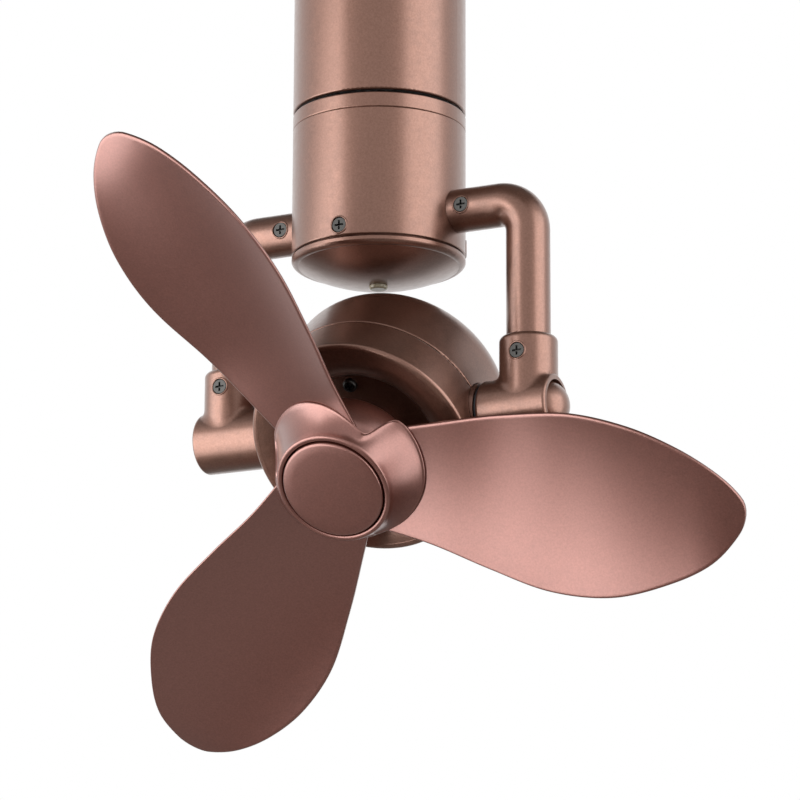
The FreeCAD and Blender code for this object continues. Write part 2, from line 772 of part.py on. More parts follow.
def bottom_cap():
    # Shallow dome with a rounded rim, a spigot for the screws, posts for the board, a lens hole.
    spigot_top = lower_bottom + size.spigot_height
    rim_top = lower_bottom - size.cap_groove
    rim_bottom = rim_top - size.cap_rim
    apex = rim_top - size.cap_depth
    groove = size.column_radius - size.cap_groove_depth - size.column_wall
    dome_radius = size.column_radius - size.cap_rim_round
    dome_edge = rim_bottom - size.cap_rim_round * dome_edge_share
    rise = dome_edge.value - apex.value
    crown_share = (dome_radius.value ** 2 + rise ** 2) / (2 * rise * dome_radius.value)
    crown = dome_radius * crown_share
    inner = fitted_radius - size.spigot_wall
    inner_edge = dome_edge + size.cap_wall
    inner_apex = apex + size.cap_wall
    body = turned("bottom_cap", [
        (zero, apex), (dome_radius, dome_edge, crown, 1),
        (size.column_radius, rim_bottom, size.cap_rim_round, 1), (size.column_radius, rim_top),
        (groove, rim_top), (groove, lower_bottom), (fitted_radius, lower_bottom), (fitted_radius, spigot_top),
        (inner, spigot_top), (inner, inner_edge), (zero, inner_apex, crown, -1),
    ])
    post_top = lower_bottom - size.board_drop
    post_foot = apex + size.cap_depth * post_foot_share
    post = cylinder(body, "Additive", size.board_post_radius, post_top - post_foot,
                    (board_post_circle, zero, post_foot))
    repeat_round(body, [post], 3)
    thread = cylinder(body, "Subtractive", size.screw_radius + size.fit, size.column_radius,
                      (zero, -size.column_radius, lower_bottom + size.cap_screw_rise),
                      Rotation(along_z, along_y))
    repeat_round(body, [thread], 3)
    cylinder(body, "Subtractive", size.lens_radius - size.lens_flange + size.fit, size.cap_depth,
             (zero, zero, apex - size.overrun))
    cylinder(body, "Subtractive", size.arm_flange_radius + size.side_gap, size.column_radius * 2,
             (-size.column_radius, zero, arm_level), facing_right)
    return body


def cap_screws():
    places = round_places(size.column_radius - size.screw_sink, lower_bottom + size.cap_screw_rise, 3, -90)
    return shape_item("cap_screws", placed_copies(column_screw(), places))


def cap_apex():
    return lower_bottom - size.cap_groove - size.cap_depth


def sensor_lens():
    stem = size.lens_radius - size.lens_flange
    low = cap_apex() - size.lens_rise
    seat = cap_apex()
    body = turned("sensor_lens", [
        (zero, low), (size.lens_radius, low), (size.lens_radius, seat), (stem, seat),
        (stem, seat + size.cap_wall * 2), (zero, seat + size.cap_wall * 2),
    ])
    round_rings(body, size.lens_rise * head_round_share, [(size.lens_radius, low)])
    return body


def control_board():
    low = lower_bottom - size.board_drop
    top = low + size.board_thickness
    body = turned("control_board", [(zero, low), (board_radius, low), (board_radius, top), (zero, top)])
    tall = size.board_part_height
    for along_share, across_share, length_share, width_share, height_share in board_part_shares:
        box(body, "Additive",
            (board_radius * length_share, board_radius * width_share, tall * height_share),
            (board_radius * along_share, board_radius * across_share, top))
    return body


# Fork


def arm_spigot(side):
    # Hollow stub through the column's wall, with a flange that seats on the wall's inside.
    label = f"arm_spigot_{side}"
    turn = outward[side]
    start = column_inside - size.arm_flange
    radius = tube_inside - size.fit
    stub = doc.addObject("Part::Cylinder", f"{label}_stub")
    stub.setExpression("Radius", radius.text)
    stub.setExpression("Height", (arm_spigot_reach - start).text)
    flange = doc.addObject("Part::Cylinder", f"{label}_flange")
    flange.setExpression("Radius", size.arm_flange_radius.text)
    flange.setExpression("Height", size.arm_flange.text)
    bore = doc.addObject("Part::Cylinder", f"{label}_bore")
    bore.setExpression("Radius", (radius - size.arm_spigot_wall).text)
    bore.setExpression("Height", arm_spigot_reach.text)
    for item in (stub, flange, bore):
        bind_place(item, (start * sides[side], zero, arm_level), turn)
    inside = doc.addObject("Part::Cylinder", f"{label}_inside")
    inside.setExpression("Radius", (column_inside - size.running_gap).text)
    inside.setExpression("Height", size.lower_height.text)
    bind_place(inside, (zero, zero, lower_bottom), upright)
    thread = doc.addObject("Part::Cylinder", f"{label}_thread")
    thread.setExpression("Radius", (size.screw_radius + size.fit).text)
    thread.setExpression("Height", size.tube_radius.text)
    bind_place(thread, (arm_screw_reach * sides[side], zero, arm_level), facing_front)
    seat = doc.addObject("Part::Common", f"{label}_seat")
    seat.Base, seat.Tool = flange, inside
    joined = doc.addObject("Part::Fuse", f"{label}_joined")
    joined.Base, joined.Tool = seat, stub
    bored = doc.addObject("Part::Cut", f"{label}_bored")
    bored.Base, bored.Tool = joined, bore
    spigot = doc.addObject("Part::Cut", label)
    spigot.Base, spigot.Tool = bored, thread
    return spigot


def screw_seat(body, reach, surface, level):
    # Hole and sunk seat for a screw that faces the front.
    cylinder(body, "Subtractive", size.screw_radius + size.fit, surface + size.overrun,
             (reach, -(surface + size.overrun), level), Rotation(along_z, along_y))
    cylinder(body, "Subtractive", size.screw_head_radius + size.side_gap, size.overrun + size.screw_sink,
             (reach, -(surface + size.overrun), level), Rotation(along_z, along_y))


def arm(side):
    # Bent tube, coped on the column, from the spigot down into the tee.
    sign = sides[side]
    body = new_body(f"arm_{side}", (zero, zero, arm_level))
    section = new_sketch(body, "section", "YZ_Plane", column_inside * sign)
    draw_circle(section, size.tube_radius)
    draw_circle(section, tube_inside)
    spine = new_sketch(body, "spine", "XZ_Plane")
    foot = pivot_level + size.socket_floor - arm_level
    draw_path(spine, [
        (column_inside * sign, zero), ((arm_reach - size.bend_radius) * sign, zero),
        (arm_reach * sign, -size.bend_radius, size.bend_radius, -sign), (arm_reach * sign, foot),
    ], closed=False)
    pipe = body.newObject("PartDesign::AdditivePipe", f"arm_{side}_tube")
    pipe.Profile = section
    pipe.Spine = spine
    cylinder(body, "Subtractive", size.column_radius + size.fit, size.tube_radius * 4,
             (zero, zero, -size.tube_radius * 2))
    screw_seat(body, arm_screw_reach * sign, size.tube_radius, zero)
    cylinder(body, "Subtractive", size.screw_radius + size.fit, size.tube_radius,
             (arm_reach * sign, zero, pivot_level + size.tee_screw_rise - arm_level), facing_front)
    return body


def fork_screws(label, reach, surface, level):
    seat = surface - size.screw_sink
    places = [Placement(Vector(reach.value * sign, -seat.value, level.value), facing_front)
              for sign in sides.values()]
    return shape_item(label, placed_copies(column_screw(), places))


def tee(side):
    # Barrel on the tilt axis with a socket for the arm; the shoulder and the ends are rounded.
    sign = sides[side]
    barrel_start = trunnion_face + size.side_gap + size.bush_flange
    body = new_body(f"tee_{side}", (zero, zero, pivot_level))
    cylinder(body, "Additive", size.barrel_radius, barrel_end - barrel_start,
             (barrel_start * sign, zero, zero), outward[side])
    cylinder(body, "Additive", size.socket_radius, size.socket_top, (arm_reach * sign, zero, zero))
    slack = match_share * size.blade_reach.value
    round_edges(body, size.socket_shoulder,
                lambda edge: abs(edge.BoundBox.ZMin - size.socket_top.value) < slack)
    round_edges(body, size.barrel_round, lambda edge: edge.BoundBox.XLength < slack < edge.BoundBox.ZLength)
    cylinder(body, "Subtractive", size.tube_radius + size.fit, size.socket_top + size.overrun,
             (arm_reach * sign, zero, size.socket_floor))
    cylinder(body, "Subtractive", size.cable_way_radius, size.socket_top, (arm_reach * sign, zero, zero))
    cylinder(body, "Subtractive", size.bush_radius + size.fit, chamber_start,
             (barrel_start * sign, zero, zero), outward[side])
    cylinder(body, "Subtractive", size.chamber_radius, barrel_end, (chamber_start * sign, zero, zero),
             outward[side])
    screw_seat(body, arm_reach * sign, size.socket_radius, size.tee_screw_rise)
    return body


def bush(side):
    # Flanged bush between the trunnion and the tee's barrel.
    face = trunnion_face + size.side_gap
    bore = size.trunnion_radius + size.running_gap
    return turned(f"bush_{side}", [
        (bore, face), (size.bush_flange_radius, face), (size.bush_flange_radius, face + size.bush_flange),
        (size.bush_radius, face + size.bush_flange), (size.bush_radius, chamber_start), (bore, chamber_start),
    ], (zero, zero, pivot_level), outward[side])


def pivot_cap(side):
    # Domed plug in the outer end of the barrel.
    plug = size.chamber_radius - size.fit
    reach = math.sqrt(size.cap_ball_radius.value ** 2 - plug.value ** 2) / size.cap_ball_radius.value
    edge = cap_ball_reach + size.cap_ball_radius * reach
    inner_ball = size.cap_ball_radius - size.cap_shell
    inner_plug = plug - size.cap_shell
    inner_reach = math.sqrt(inner_ball.value ** 2 - inner_plug.value ** 2) / inner_ball.value
    inner_edge = cap_ball_reach + inner_ball * inner_reach
    back = edge - size.cap_plug_depth
    return turned(f"pivot_cap_{side}", [
        (inner_plug, back), (plug, back), (plug, edge),
        (zero, cap_ball_reach + size.cap_ball_radius, size.cap_ball_radius, 1),
        (zero, cap_ball_reach + inner_ball), (inner_plug, inner_edge, inner_ball, -1),
    ], (zero, zero, pivot_level), outward[side])


# Motor drum; these bodies have their Z axis along the motor's axis, to the front


motor_place = (zero, zero, pivot_level)


def trunnion(side):
    # Hollow pivot: a round flange in the motor frame's seat and a shaft through the tee.
    return turned(f"trunnion_{side}", [
        (size.trunnion_bore, trunnion_seat), (size.trunnion_flange_radius, trunnion_seat),
        (size.trunnion_flange_radius, trunnion_face), (size.trunnion_radius, trunnion_face),
        (size.trunnion_radius, trunnion_end), (size.trunnion_bore, trunnion_end),
    ], (zero, zero, pivot_level), outward[side])


def both_sides(label, shape):
    # One piece on each trunnion, drawn along Z from the tilt axis.
    places = [Placement(Vector(0, 0, 0), turn) for turn in outward.values()]
    return shape_item(label, placed_copies(shape, places), (zero, zero, pivot_level))


def friction_washers():
    start = chamber_start + size.running_gap
    ring = Part.makeCylinder(size.friction_washer_radius.value, size.friction_washer.value,
                             Vector(0, 0, start.value))
    bore = size.trunnion_radius + size.running_gap
    ring = ring.cut(Part.makeCylinder(bore.value, trunnion_end.value))
    return both_sides("friction_washers", ring)


def spring_start():
    return chamber_start + size.running_gap + size.friction_washer


def disc_springs():
    # Coned spring washer between the friction washer and the nut.
    bore = size.trunnion_radius + size.running_gap
    low = spring_start().value
    high = (spring_start() + size.spring_height).value
    sheet_depth = size.spring_sheet.value
    points = [Vector(size.friction_washer_radius.value, 0, low), Vector(bore.value, 0, high - sheet_depth),
              Vector(bore.value, 0, high), Vector(size.friction_washer_radius.value, 0, low + sheet_depth)]
    ring = Part.Face(Part.makePolygon(points + points[:1])).revolve(Vector(), along_z, 360)
    return both_sides("disc_springs", ring)


def pivot_nuts():
    low = spring_start() + size.spring_height
    bore = size.trunnion_radius + size.running_gap
    return both_sides("pivot_nuts", hex_nut(size.pivot_nut_flats, bore, low, low + size.pivot_nut_height))


def pivot_openings(body, radius, start):
    # Round openings on the tilt axis, from a start outward, in a piece drawn along the motor's axis.
    for place, turn in ((-start, outward["left"]), (start, outward["right"])):
        cylinder(body, "Subtractive", radius, size.drum_radius * 2, (place, zero, zero), turn)


def front_cover():
    # Front shell of the drum: a rounded rim and a dish that sinks towards the shaft.
    seam = size.drum_seam + size.side_gap
    rim_inner = drum_rim_radius - size.drum_rim_width
    wall = size.drum_wall
    floor_back = size.dish_floor - wall
    body = turned("front_cover", [
        (size.drum_radius, seam), (drum_rim_radius, size.drum_front), (rim_inner, size.drum_front),
        (size.dish_floor_radius, size.dish_floor), (size.dish_hole_radius, size.dish_floor),
        (size.dish_hole_radius, floor_back), (size.dish_floor_radius + wall, floor_back),
        (drum_rim_radius - wall, size.drum_front - wall * 2),
        (size.drum_radius - wall, seam),
    ], motor_place, motor_turn)
    round_rings(body, size.drum_rim_round, [(drum_rim_radius, size.drum_front)])
    round_rings(body, size.edge_round, [(rim_inner, size.drum_front), (size.drum_radius, seam)])
    hole = cylinder(body, "Subtractive", size.screw_radius + size.fit, size.drum_front,
                    (zero, size.front_screw_circle, zero))
    repeat_round(body, [hole], 3)
    pivot_openings(body, size.trunnion_flange_radius + size.side_gap, trunnion_seat - size.side_gap)
    return body


def front_screws():
    places = ring_places(size.front_screw_circle, size.dish_floor, 3, 90)
    shape = placed_copies(column_screw(), places)
    return shape_item("front_screws", shape, motor_place, motor_turn)


def rear_shell(radius, straight, corner):
    # Corners of the rear shell's skin from the wall over the corner to the crown.
    tilt = math.radians(90 - angle.crown_angle)
    centre = radius - corner
    edge = (centre + corner * math.cos(tilt), -(straight + corner * math.sin(tilt)))
    crown_radius = edge[0] * (1 / math.sin(math.radians(angle.crown_angle)))
    apex = edge[1] - crown_radius * (1 - math.cos(math.radians(angle.crown_angle)))
    return edge, crown_radius, apex


def rear_cover():
    seam = size.drum_seam - size.side_gap
    inner_radius = size.drum_radius - size.drum_wall
    edge, crown, apex = rear_shell(size.drum_radius, size.rear_straight, size.rear_corner)
    inner_corner = size.rear_corner - size.drum_wall
    inner_edge, inner_crown, inner_apex = rear_shell(inner_radius, size.rear_straight, inner_corner)
    body = turned("rear_cover", [
        (zero, apex), (edge[0], edge[1], crown, 1),
        (size.drum_radius, -size.rear_straight, size.rear_corner, 1),
        (size.drum_radius, seam), (inner_radius, seam), (inner_radius, -size.rear_straight),
        (inner_edge[0], inner_edge[1], inner_corner, -1), (zero, inner_apex, inner_crown, -1),
    ], motor_place, motor_turn)
    round_rings(body, size.edge_round, [(size.drum_radius, seam)])
    hole = cylinder(body, "Subtractive", size.screw_radius + size.fit, size.drum_radius,
                    (zero, size.rear_screw_circle, -size.drum_radius))
    repeat_round(body, [hole], 3)
    pivot_openings(body, size.trunnion_flange_radius + size.side_gap, trunnion_seat - size.side_gap)
    return body


def rear_skin(radius):
    # Level of the rear shell's outside at a radius within its crown.
    _, crown, apex = rear_shell(size.drum_radius, size.rear_straight, size.rear_corner)
    sag = crown.value - math.sqrt(crown.value ** 2 - radius.value ** 2)
    return apex + crown * (sag / crown.value)


def rear_screws():
    seat = rear_skin(size.rear_screw_circle - size.screw_head_radius)
    places = ring_places(size.rear_screw_circle, seat, 3, 90, facing_down)
    shape = screw_shape(size.screw_radius, size.rear_screw_length, size.screw_head_radius,
                        size.screw_head_height)
    return shape_item("rear_screws", placed_copies(shape, places), motor_place, motor_turn)


def motor_frame():
    # Ring that holds the stator, with round seats for the trunnions' flanges.
    outline = ring_outline(frame_inside, frame_outside, -size.frame_back, size.frame_front)
    body = turned("motor_frame", outline, motor_place, motor_turn)
    for side, turn in outward.items():
        cylinder(body, "Subtractive", size.trunnion_flange_radius + size.running_gap, size.drum_radius,
                 (trunnion_seat * sides[side], zero, zero), turn)
    pivot_openings(body, size.trunnion_bore, zero)
    return body


def motor_bracket(label, face, sign, posts):
    # End plate in the motor frame with a seat for a bearing; sign points away from the stator.
    outer = frame_inside - size.running_gap
    back = face - size.bracket_thickness * sign
    seat = back - size.motor_bearing_width * sign
    bore = size.motor_bearing_radius + size.running_gap
    hole = size.shaft_radius + size.side_gap * 3
    body = turned(label, [
        (hole, face), (outer, face), (outer, back), (size.bracket_boss_radius, back),
        (size.bracket_boss_radius, seat), (bore, seat), (bore, back), (hole, back),
    ], motor_place, motor_turn)
    circle = size.front_screw_circle if posts is None else size.rear_screw_circle
    if posts is not None:
        post = cylinder(body, "Additive", size.screw_head_radius, posts, (zero, circle, face - posts))
        repeat_round(body, [post], 3)
    hole_cut = cylinder(body, "Subtractive", size.screw_radius + size.fit, size.drum_radius * 2,
                        (zero, circle, -size.drum_radius))
    repeat_round(body, [hole_cut], 3)
    return body


def front_bracket():
    return motor_bracket("front_bracket", size.dish_floor - size.drum_wall, 1, None)


def rear_bracket():
    return motor_bracket("rear_bracket", rear_bracket_face(), -1, size.rear_screw_length * middle_share)


def rear_bracket_face():
    return -(size.frame_back + size.bracket_thickness + size.coil_overhang)


def motor_bearing(label, low):
    # Sealed ball bearing: two rings and the shields between them in one outline.
    bore = size.shaft_radius + size.running_gap
    return turned(label, ring_outline(bore, size.motor_bearing_radius, low, low + size.motor_bearing_width),
                  motor_place, motor_turn)


def stator_core():
    # Slotted ring of laminations.
    outer = frame_inside - size.running_gap
    low = size.stator_front - size.stator_stack
    outline = ring_outline(size.stator_bore, outer, low, size.stator_front)
    body = turned("stator_core", outline, motor_place, motor_turn)
    slot_start = size.stator_bore + size.tooth_tip
    slot_length = outer - size.stator_yoke - slot_start
    through = size.stator_stack + size.overrun * 2
    slot = box(body, "Subtractive", (slot_length, size.slot_half_width * 2, through),
               (slot_start, -size.slot_half_width, low - size.overrun))
    mouth = box(body, "Subtractive", (size.tooth_tip + size.overrun, size.slot_mouth * 2, through),
                (size.stator_bore - size.overrun, -size.slot_mouth, low - size.overrun))
    repeat_round(body, [slot, mouth], count.slot_count)
    return body


def stator_coils():
    # One wound bundle through each slot, standing out at both ends of the stack.
    outer = frame_inside - size.stator_yoke - size.side_gap * 2
    inner = size.stator_bore + size.tooth_tip + size.side_gap
    half = size.slot_half_width - size.side_gap
    low = size.stator_front - size.stator_stack - size.coil_overhang
    height = size.stator_stack + size.coil_overhang * 2
    bundle = Part.makeBox((outer - inner).value, half.value * 2, height.value,
                          Vector(inner.value, -half.value, low.value))
    along = [edge for edge in bundle.Edges if edge.BoundBox.ZLength > size.stator_stack.value]
    bundle = bundle.makeFillet(half.value * middle_share, along)
    places = [Placement(Vector(), Rotation(along_z, 360 * index / count.slot_count))
              for index in range(count.slot_count)]
    return shape_item("stator_coils", placed_copies(bundle, places), motor_place, motor_turn)


# Rotor


def front_bearing_low():
    return size.dish_floor - size.drum_wall - size.bracket_thickness - size.motor_bearing_width


def rear_bearing_low():
    return rear_bracket_face() + size.bracket_thickness


def motor_shaft():
    low = rear_bearing_low()
    high = size.hub_cap_front - size.hub_cap_wall - size.side_gap * 2
    outline = [(zero, low), (size.shaft_radius, low), (size.shaft_radius, high), (zero, high)]
    return turned("motor_shaft", outline, motor_place, motor_turn)


def rotor_core():
    low = size.stator_front - size.stator_stack
    bore = size.shaft_radius + size.running_gap
    outline = ring_outline(bore, size.stator_bore - size.air_gap, low, size.stator_front)
    return turned("rotor_core", outline, motor_place, motor_turn)


def blade_turn(index):
    return Rotation(along_z, 120 * index - angle.blade_lag_angle)


def blade_sheet(lift):
    # The blade's curved mid surface, raised by lift along the motor's axis.
    reach = size.blade_reach.value
    rows = []
    for along_share, bow_share, fall_share, half_share in sheet_shares:
        row = []
        for across_share in sheet_width_shares:
            bend = camber_share * (across_share ** 2 - half_share ** 2)
            rise = (bow_share - fall_share * across_share + bend) * reach
            level = size.blade_offset.value + rise + lift
            row.append(Vector(along_share * reach, across_share * reach, level))
        rows.append(row)
    surface = Part.BSplineSurface()
    surface.interpolate(rows)
    return surface.toShape()


def blade_planform():
    # Prism over the blade's outline.
    reach = size.blade_reach.value
    points = [Vector(along * reach, across * reach, 0) for along, across in planform_shares]
    edge = Part.BSplineCurve()
    edge.interpolate(points)
    root = Part.LineSegment(points[-1], points[0])
    face = Part.Face(Part.Wire([edge.toShape(), root.toShape()]))
    return face.extrude(Vector(0, 0, reach))


def blade_slab(low, high):
    # Part of the planform prism between two lifts of the blade's mid surface.
    slab = blade_sheet(low).extrude(Vector(0, 0, high - low))
    return slab.common(blade_planform())


def root_tab(gap):
    # Flat tab on the blade's root that enters the hub, pitched with the blade, grown by a gap.
    _, _, fall_share, half_share = sheet_shares[1]
    level = size.blade_offset.value - camber_share * half_share ** 2 * size.blade_reach.value
    half_width = size.tab_width.value / 2 + gap
    half_height = size.tab_thickness.value / 2 + gap
    start = size.blade_root.value - gap
    tab = Part.makeBox(size.tab_end.value - start, half_width * 2, half_height * 2,
                       Vector(start, -half_width, -half_height))
    tab.rotate(Vector(), along_x, -math.degrees(math.atan(fall_share)))
    tab.translate(Vector(0, 0, level))
    return tab


def blade_screw_spots():
    spots = []
    for spread in (size.blade_screw_spread, -size.blade_screw_spread):
        spots.append(Vector(size.blade_screw_circle.value, spread.value, size.hub_back.value))
    return spots


def blade(index):
    # Curved blade cut clear of the hub's bell, with the tab that the hub holds.
    half = size.blade_thickness.value / 2
    clear = bell(size.side_gap.value - size.valley_depth.value, 0)
    shape = blade_slab(-half, half).cut(clear).fuse(root_tab(0))
    hole_radius = size.small_screw_radius.value + size.fit.value
    for spot in blade_screw_spots():
        shape = shape.cut(Part.makeCylinder(hole_radius, size.hub_front.value, spot))
    turn = motor_turn.multiply(blade_turn(index))
    return shape_item(f"blade_{index + 1}", shape.Solids[0], motor_place, turn)


def bell(grow, back):
    # Solid bell of the hub, grown outward, from its nose back to a level.
    nose = size.hub_nose_radius.value + grow
    rim = size.hub_radius.value + grow
    front = size.hub_front.value + grow
    shoulder = size.hub_back.value + (size.hub_front.value - size.hub_back.value) * hub_shoulder_share
    start = Vector(nose, 0, front)
    end = Vector(rim, 0, shoulder)
    arc = arc_through(start, end, size.hub_shoulder.value)
    corners = [end, Vector(rim, 0, back), Vector(0, 0, back), Vector(0, 0, front), start]
    lines = [Part.LineSegment(first, last) for first, last in zip(corners, corners[1:])]
    wire = Part.Wire([arc.toShape()] + [line.toShape() for line in lines])
    return Part.Face(wire).revolve(Vector(), along_z, 360)


def arc_through(start, end, radius):
    # Outward bulging arc in the XZ plane from start to end.
    chord = end - start
    middle = (start + end) * 0.5
    bulge = radius - math.sqrt(radius ** 2 - (chord.Length / 2) ** 2)
    outward_way = Vector(-chord.z, 0, chord.x).normalize()
    return Part.Arc(start, middle + outward_way * bulge, end)


def turned_about_axis(shape, index):
    copy = shape.copy()
    copy.rotate(Vector(), along_z, 120 * index - angle.blade_lag_angle)
    return copy


def blade_hub():
    # Bell with a boss on the shaft, slots for the blades' tabs and holes for their screws.
    hub = bell(-size.valley_depth.value, size.hub_back.value)
    boss_height = size.hub_back.value - size.hub_boss_back.value
    hub = hub.fuse(Part.makeCylinder(size.hub_boss_radius.value, boss_height + size.overrun.value,
                                     Vector(0, 0, size.hub_boss_back.value)))
    slot = root_tab(size.running_gap.value)
    for spot in blade_screw_spots():
        slot = slot.fuse(Part.makeCylinder(size.small_screw_radius.value + size.fit.value,
                                           size.blade_screw_length.value, spot))
    for index in range(3):
        hub = hub.cut(turned_about_axis(slot, index))
    bore = size.shaft_radius + size.running_gap
    hub = hub.cut(Part.makeCylinder(bore.value, size.hub_cap_front.value))
    return shape_item("blade_hub", hub.Solids[0], motor_place, motor_turn)


def hub_clamp():
    # Front ring with three collars that follow the blades' roots over the bell.
    gap = size.running_gap.value
    above = size.blade_thickness.value / 2 + size.side_gap.value
    inside = bell(gap - size.valley_depth.value, 0)
    skin = bell(size.collar_wall.value, size.hub_boss_back.value).cut(inside)
    region = blade_slab(above, above + size.hub_radius.value)
    ring_back = size.hub_front.value - size.collar_ring_wall.value * 2
    nose = size.hub_nose_radius.value + size.collar_wall.value
    ring = Part.makeCylinder(nose, size.collar_front.value - ring_back, Vector(0, 0, ring_back))
    clamp = ring.cut(inside)
    for index in range(3):
        clamp = clamp.fuse(turned_about_axis(region, index).common(skin))
    bore = size.hub_cap_radius + size.hub_cap_gap
    clamp = clamp.cut(Part.makeCylinder(bore.value, size.blade_reach.value))
    return shape_item("hub_clamp", clamp.Solids[0], motor_place, motor_turn)


def blade_screws():
    length = size.blade_screw_length - size.side_gap
    shape = screw_shape(size.small_screw_radius, length, size.small_head_radius, size.small_head_height)
    places = []
    for index in range(3):
        for spot in blade_screw_spots():
            places.append(Placement(blade_turn(index).multVec(spot), facing_down))
    return shape_item("blade_screws", placed_copies(shape, places), motor_place, motor_turn)


def hub_nut():
    low = size.hub_front - size.valley_depth
    shape = hex_nut(size.hub_nut_flats, size.shaft_radius + size.running_gap, low,
                    size.hub_cap_front - size.hub_cap_wall - size.side_gap)
    return shape_item("hub_nut", shape, motor_place, motor_turn)


def hub_cap():
    # Flat round cap with a rounded edge, hollow over the nut.
    inner = size.hub_cap_radius - size.hub_cap_wall
    low = size.hub_front - size.valley_depth + size.running_gap
    top = size.hub_cap_front
    body = turned("hub_cap", [
        (inner, low), (size.hub_cap_radius, low), (size.hub_cap_radius, top), (zero, top),
        (zero, top - size.hub_cap_wall), (inner, top - size.hub_cap_wall),
    ], motor_place, motor_turn)
    round_rings(body, size.hub_cap_round, [(size.hub_cap_radius, top)])
    return body


def build():
    pieces = [
        ceiling_plate(), upper_housing(), housing_screws(), tie_studs(), carrier_plate(), spindle(),
        terminal_block(), swivel_bearing_inner(), swivel_bearing_outer(), swivel_bearing_balls(),
        spindle_nut(), sun_gear(), drive_pinion(), swing_motor(), motor_pillars(), swing_motor_screws(),
        swivel_lid(), lower_housing(), bottom_cap(), cap_screws(), sensor_lens(), control_board(),
    ]
    for side in sides:
        pieces += [arm_spigot(side), arm(side), tee(side), bush(side), pivot_cap(side), trunnion(side)]
    pieces.append(fork_screws("arm_screws", arm_screw_reach, size.tube_radius, arm_level))
    pieces.append(fork_screws("tee_screws", arm_reach, size.socket_radius, pivot_level + size.tee_screw_rise))
    pieces += [
        friction_washers(), disc_springs(), pivot_nuts(), front_cover(), front_screws(), rear_cover(),
        rear_screws(), motor_frame(), front_bracket(), rear_bracket(),
        motor_bearing("front_bearing", front_bearing_low()),
        motor_bearing("rear_bearing", rear_bearing_low()),
        stator_core(), stator_coils(), motor_shaft(), rotor_core(), blade_hub(), hub_clamp(), blade_screws(),
        hub_nut(), hub_cap(),
    ]
    pieces += [blade(index) for index in range(3)]
    return pieces


pieces = build()
doc.recompute()
failed = [item.Label for item in doc.Objects if {"Invalid", "Error"} & set(item.State)]
failed += [piece.Label for piece in pieces if piece.Shape.isNull() or not piece.Shape.isValid()]
if failed:
    raise RuntimeError(f"not built: {failed}")
os.makedirs("parts", exist_ok=True)
for piece in pieces:
    piece.Shape.exportStep(f"parts/{piece.Label}.step")
print(f"{len(pieces)} pieces written")
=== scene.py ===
from math import cos, pi, radians, sin

import bmesh
import bpy
from mathutils import Matrix, Vector


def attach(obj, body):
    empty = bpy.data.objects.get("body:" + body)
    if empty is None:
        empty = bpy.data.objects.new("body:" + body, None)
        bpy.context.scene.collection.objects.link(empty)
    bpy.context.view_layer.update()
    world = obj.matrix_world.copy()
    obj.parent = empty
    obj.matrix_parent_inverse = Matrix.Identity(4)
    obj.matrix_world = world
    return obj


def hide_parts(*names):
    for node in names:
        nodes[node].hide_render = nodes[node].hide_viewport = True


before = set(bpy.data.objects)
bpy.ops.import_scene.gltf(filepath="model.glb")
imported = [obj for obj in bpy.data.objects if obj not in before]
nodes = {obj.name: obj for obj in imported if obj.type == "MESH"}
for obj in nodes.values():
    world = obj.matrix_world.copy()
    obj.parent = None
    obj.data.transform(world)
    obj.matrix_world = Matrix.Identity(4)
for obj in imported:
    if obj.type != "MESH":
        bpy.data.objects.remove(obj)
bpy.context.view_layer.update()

mm = 0.001
thirdTurn = 120  # degrees from blade to blade, and from screw to screw round the column
pivot = Vector((0, 0, -272.6 * mm))  # where the head's two axes meet


# sRGB hex to the linear colour that a socket takes
def hexColor(text):
    values = [int(text[i:i + 2], 16) / 255 for i in (1, 3, 5)]
    return [v / 12.92 if v <= 0.04045 else ((v + 0.055) / 1.055) ** 2.4 for v in values] + [1.0]


# adds one node, sets its sockets and links others to them
def addNode(tree, kind, settings={}, sockets={}, links={}):
    made = tree.nodes.new(kind)
    for name, value in settings.items():
        setattr(made, name, value)
    for name, value in sockets.items():
        made.inputs[name].default_value = value
    for name, source in links.items():
        tree.links.new(source, made.inputs[name])
    return made


# a material with one principled shader, its tree and object coordinates
def newFinish(name, shaderSockets):
    material = bpy.data.materials.new(name)
    material.use_nodes = True
    tree = material.node_tree
    tree.nodes.clear()
    shader = addNode(tree, "ShaderNodeBsdfPrincipled", sockets=shaderSockets)
    addNode(tree, "ShaderNodeOutputMaterial", links={"Surface": shader.outputs["BSDF"]})
    place = addNode(tree, "ShaderNodeTexCoord").outputs["Object"]
    return material, tree, shader, place


# noise whose cells are about grain millimetres across
def grainNoise(tree, place, grain, detail=2.0):
    noise = addNode(tree, "ShaderNodeTexNoise", links={"Vector": place}, sockets={
        "Scale": 1 / (grain * mm), "Detail": detail, "Roughness": 0.5})
    return noise.outputs["Fac"]


# most of a noise lies between these values
patternEnds = (0.3, 0.7)


# base colour between two hex values that follows a pattern
def patternColor(tree, shader, pattern, low, high):
    ramp = addNode(tree, "ShaderNodeValToRGB", links={"Fac": pattern})
    ends = ramp.color_ramp.elements
    ends[0].position, ends[1].position = patternEnds
    ends[0].color, ends[1].color = hexColor(low), hexColor(high)
    tree.links.new(ramp.outputs["Color"], shader.inputs["Base Color"])


# roughness that follows a pattern
def patternRough(tree, shader, pattern, low, high):
    rough = addNode(tree, "ShaderNodeMapRange", links={"Value": pattern}, sockets={
        "From Min": patternEnds[0], "From Max": patternEnds[1], "To Min": low, "To Max": high})
    tree.links.new(rough.outputs["Result"], shader.inputs["Roughness"])


# bump of a depth in millimetres
def patternBump(tree, shader, pattern, strength, depth):
    bump = addNode(tree, "ShaderNodeBump", links={"Height": pattern}, sockets={
        "Strength": strength, "Distance": depth * mm})
    tree.links.new(bump.outputs["Normal"], shader.inputs["Normal"])


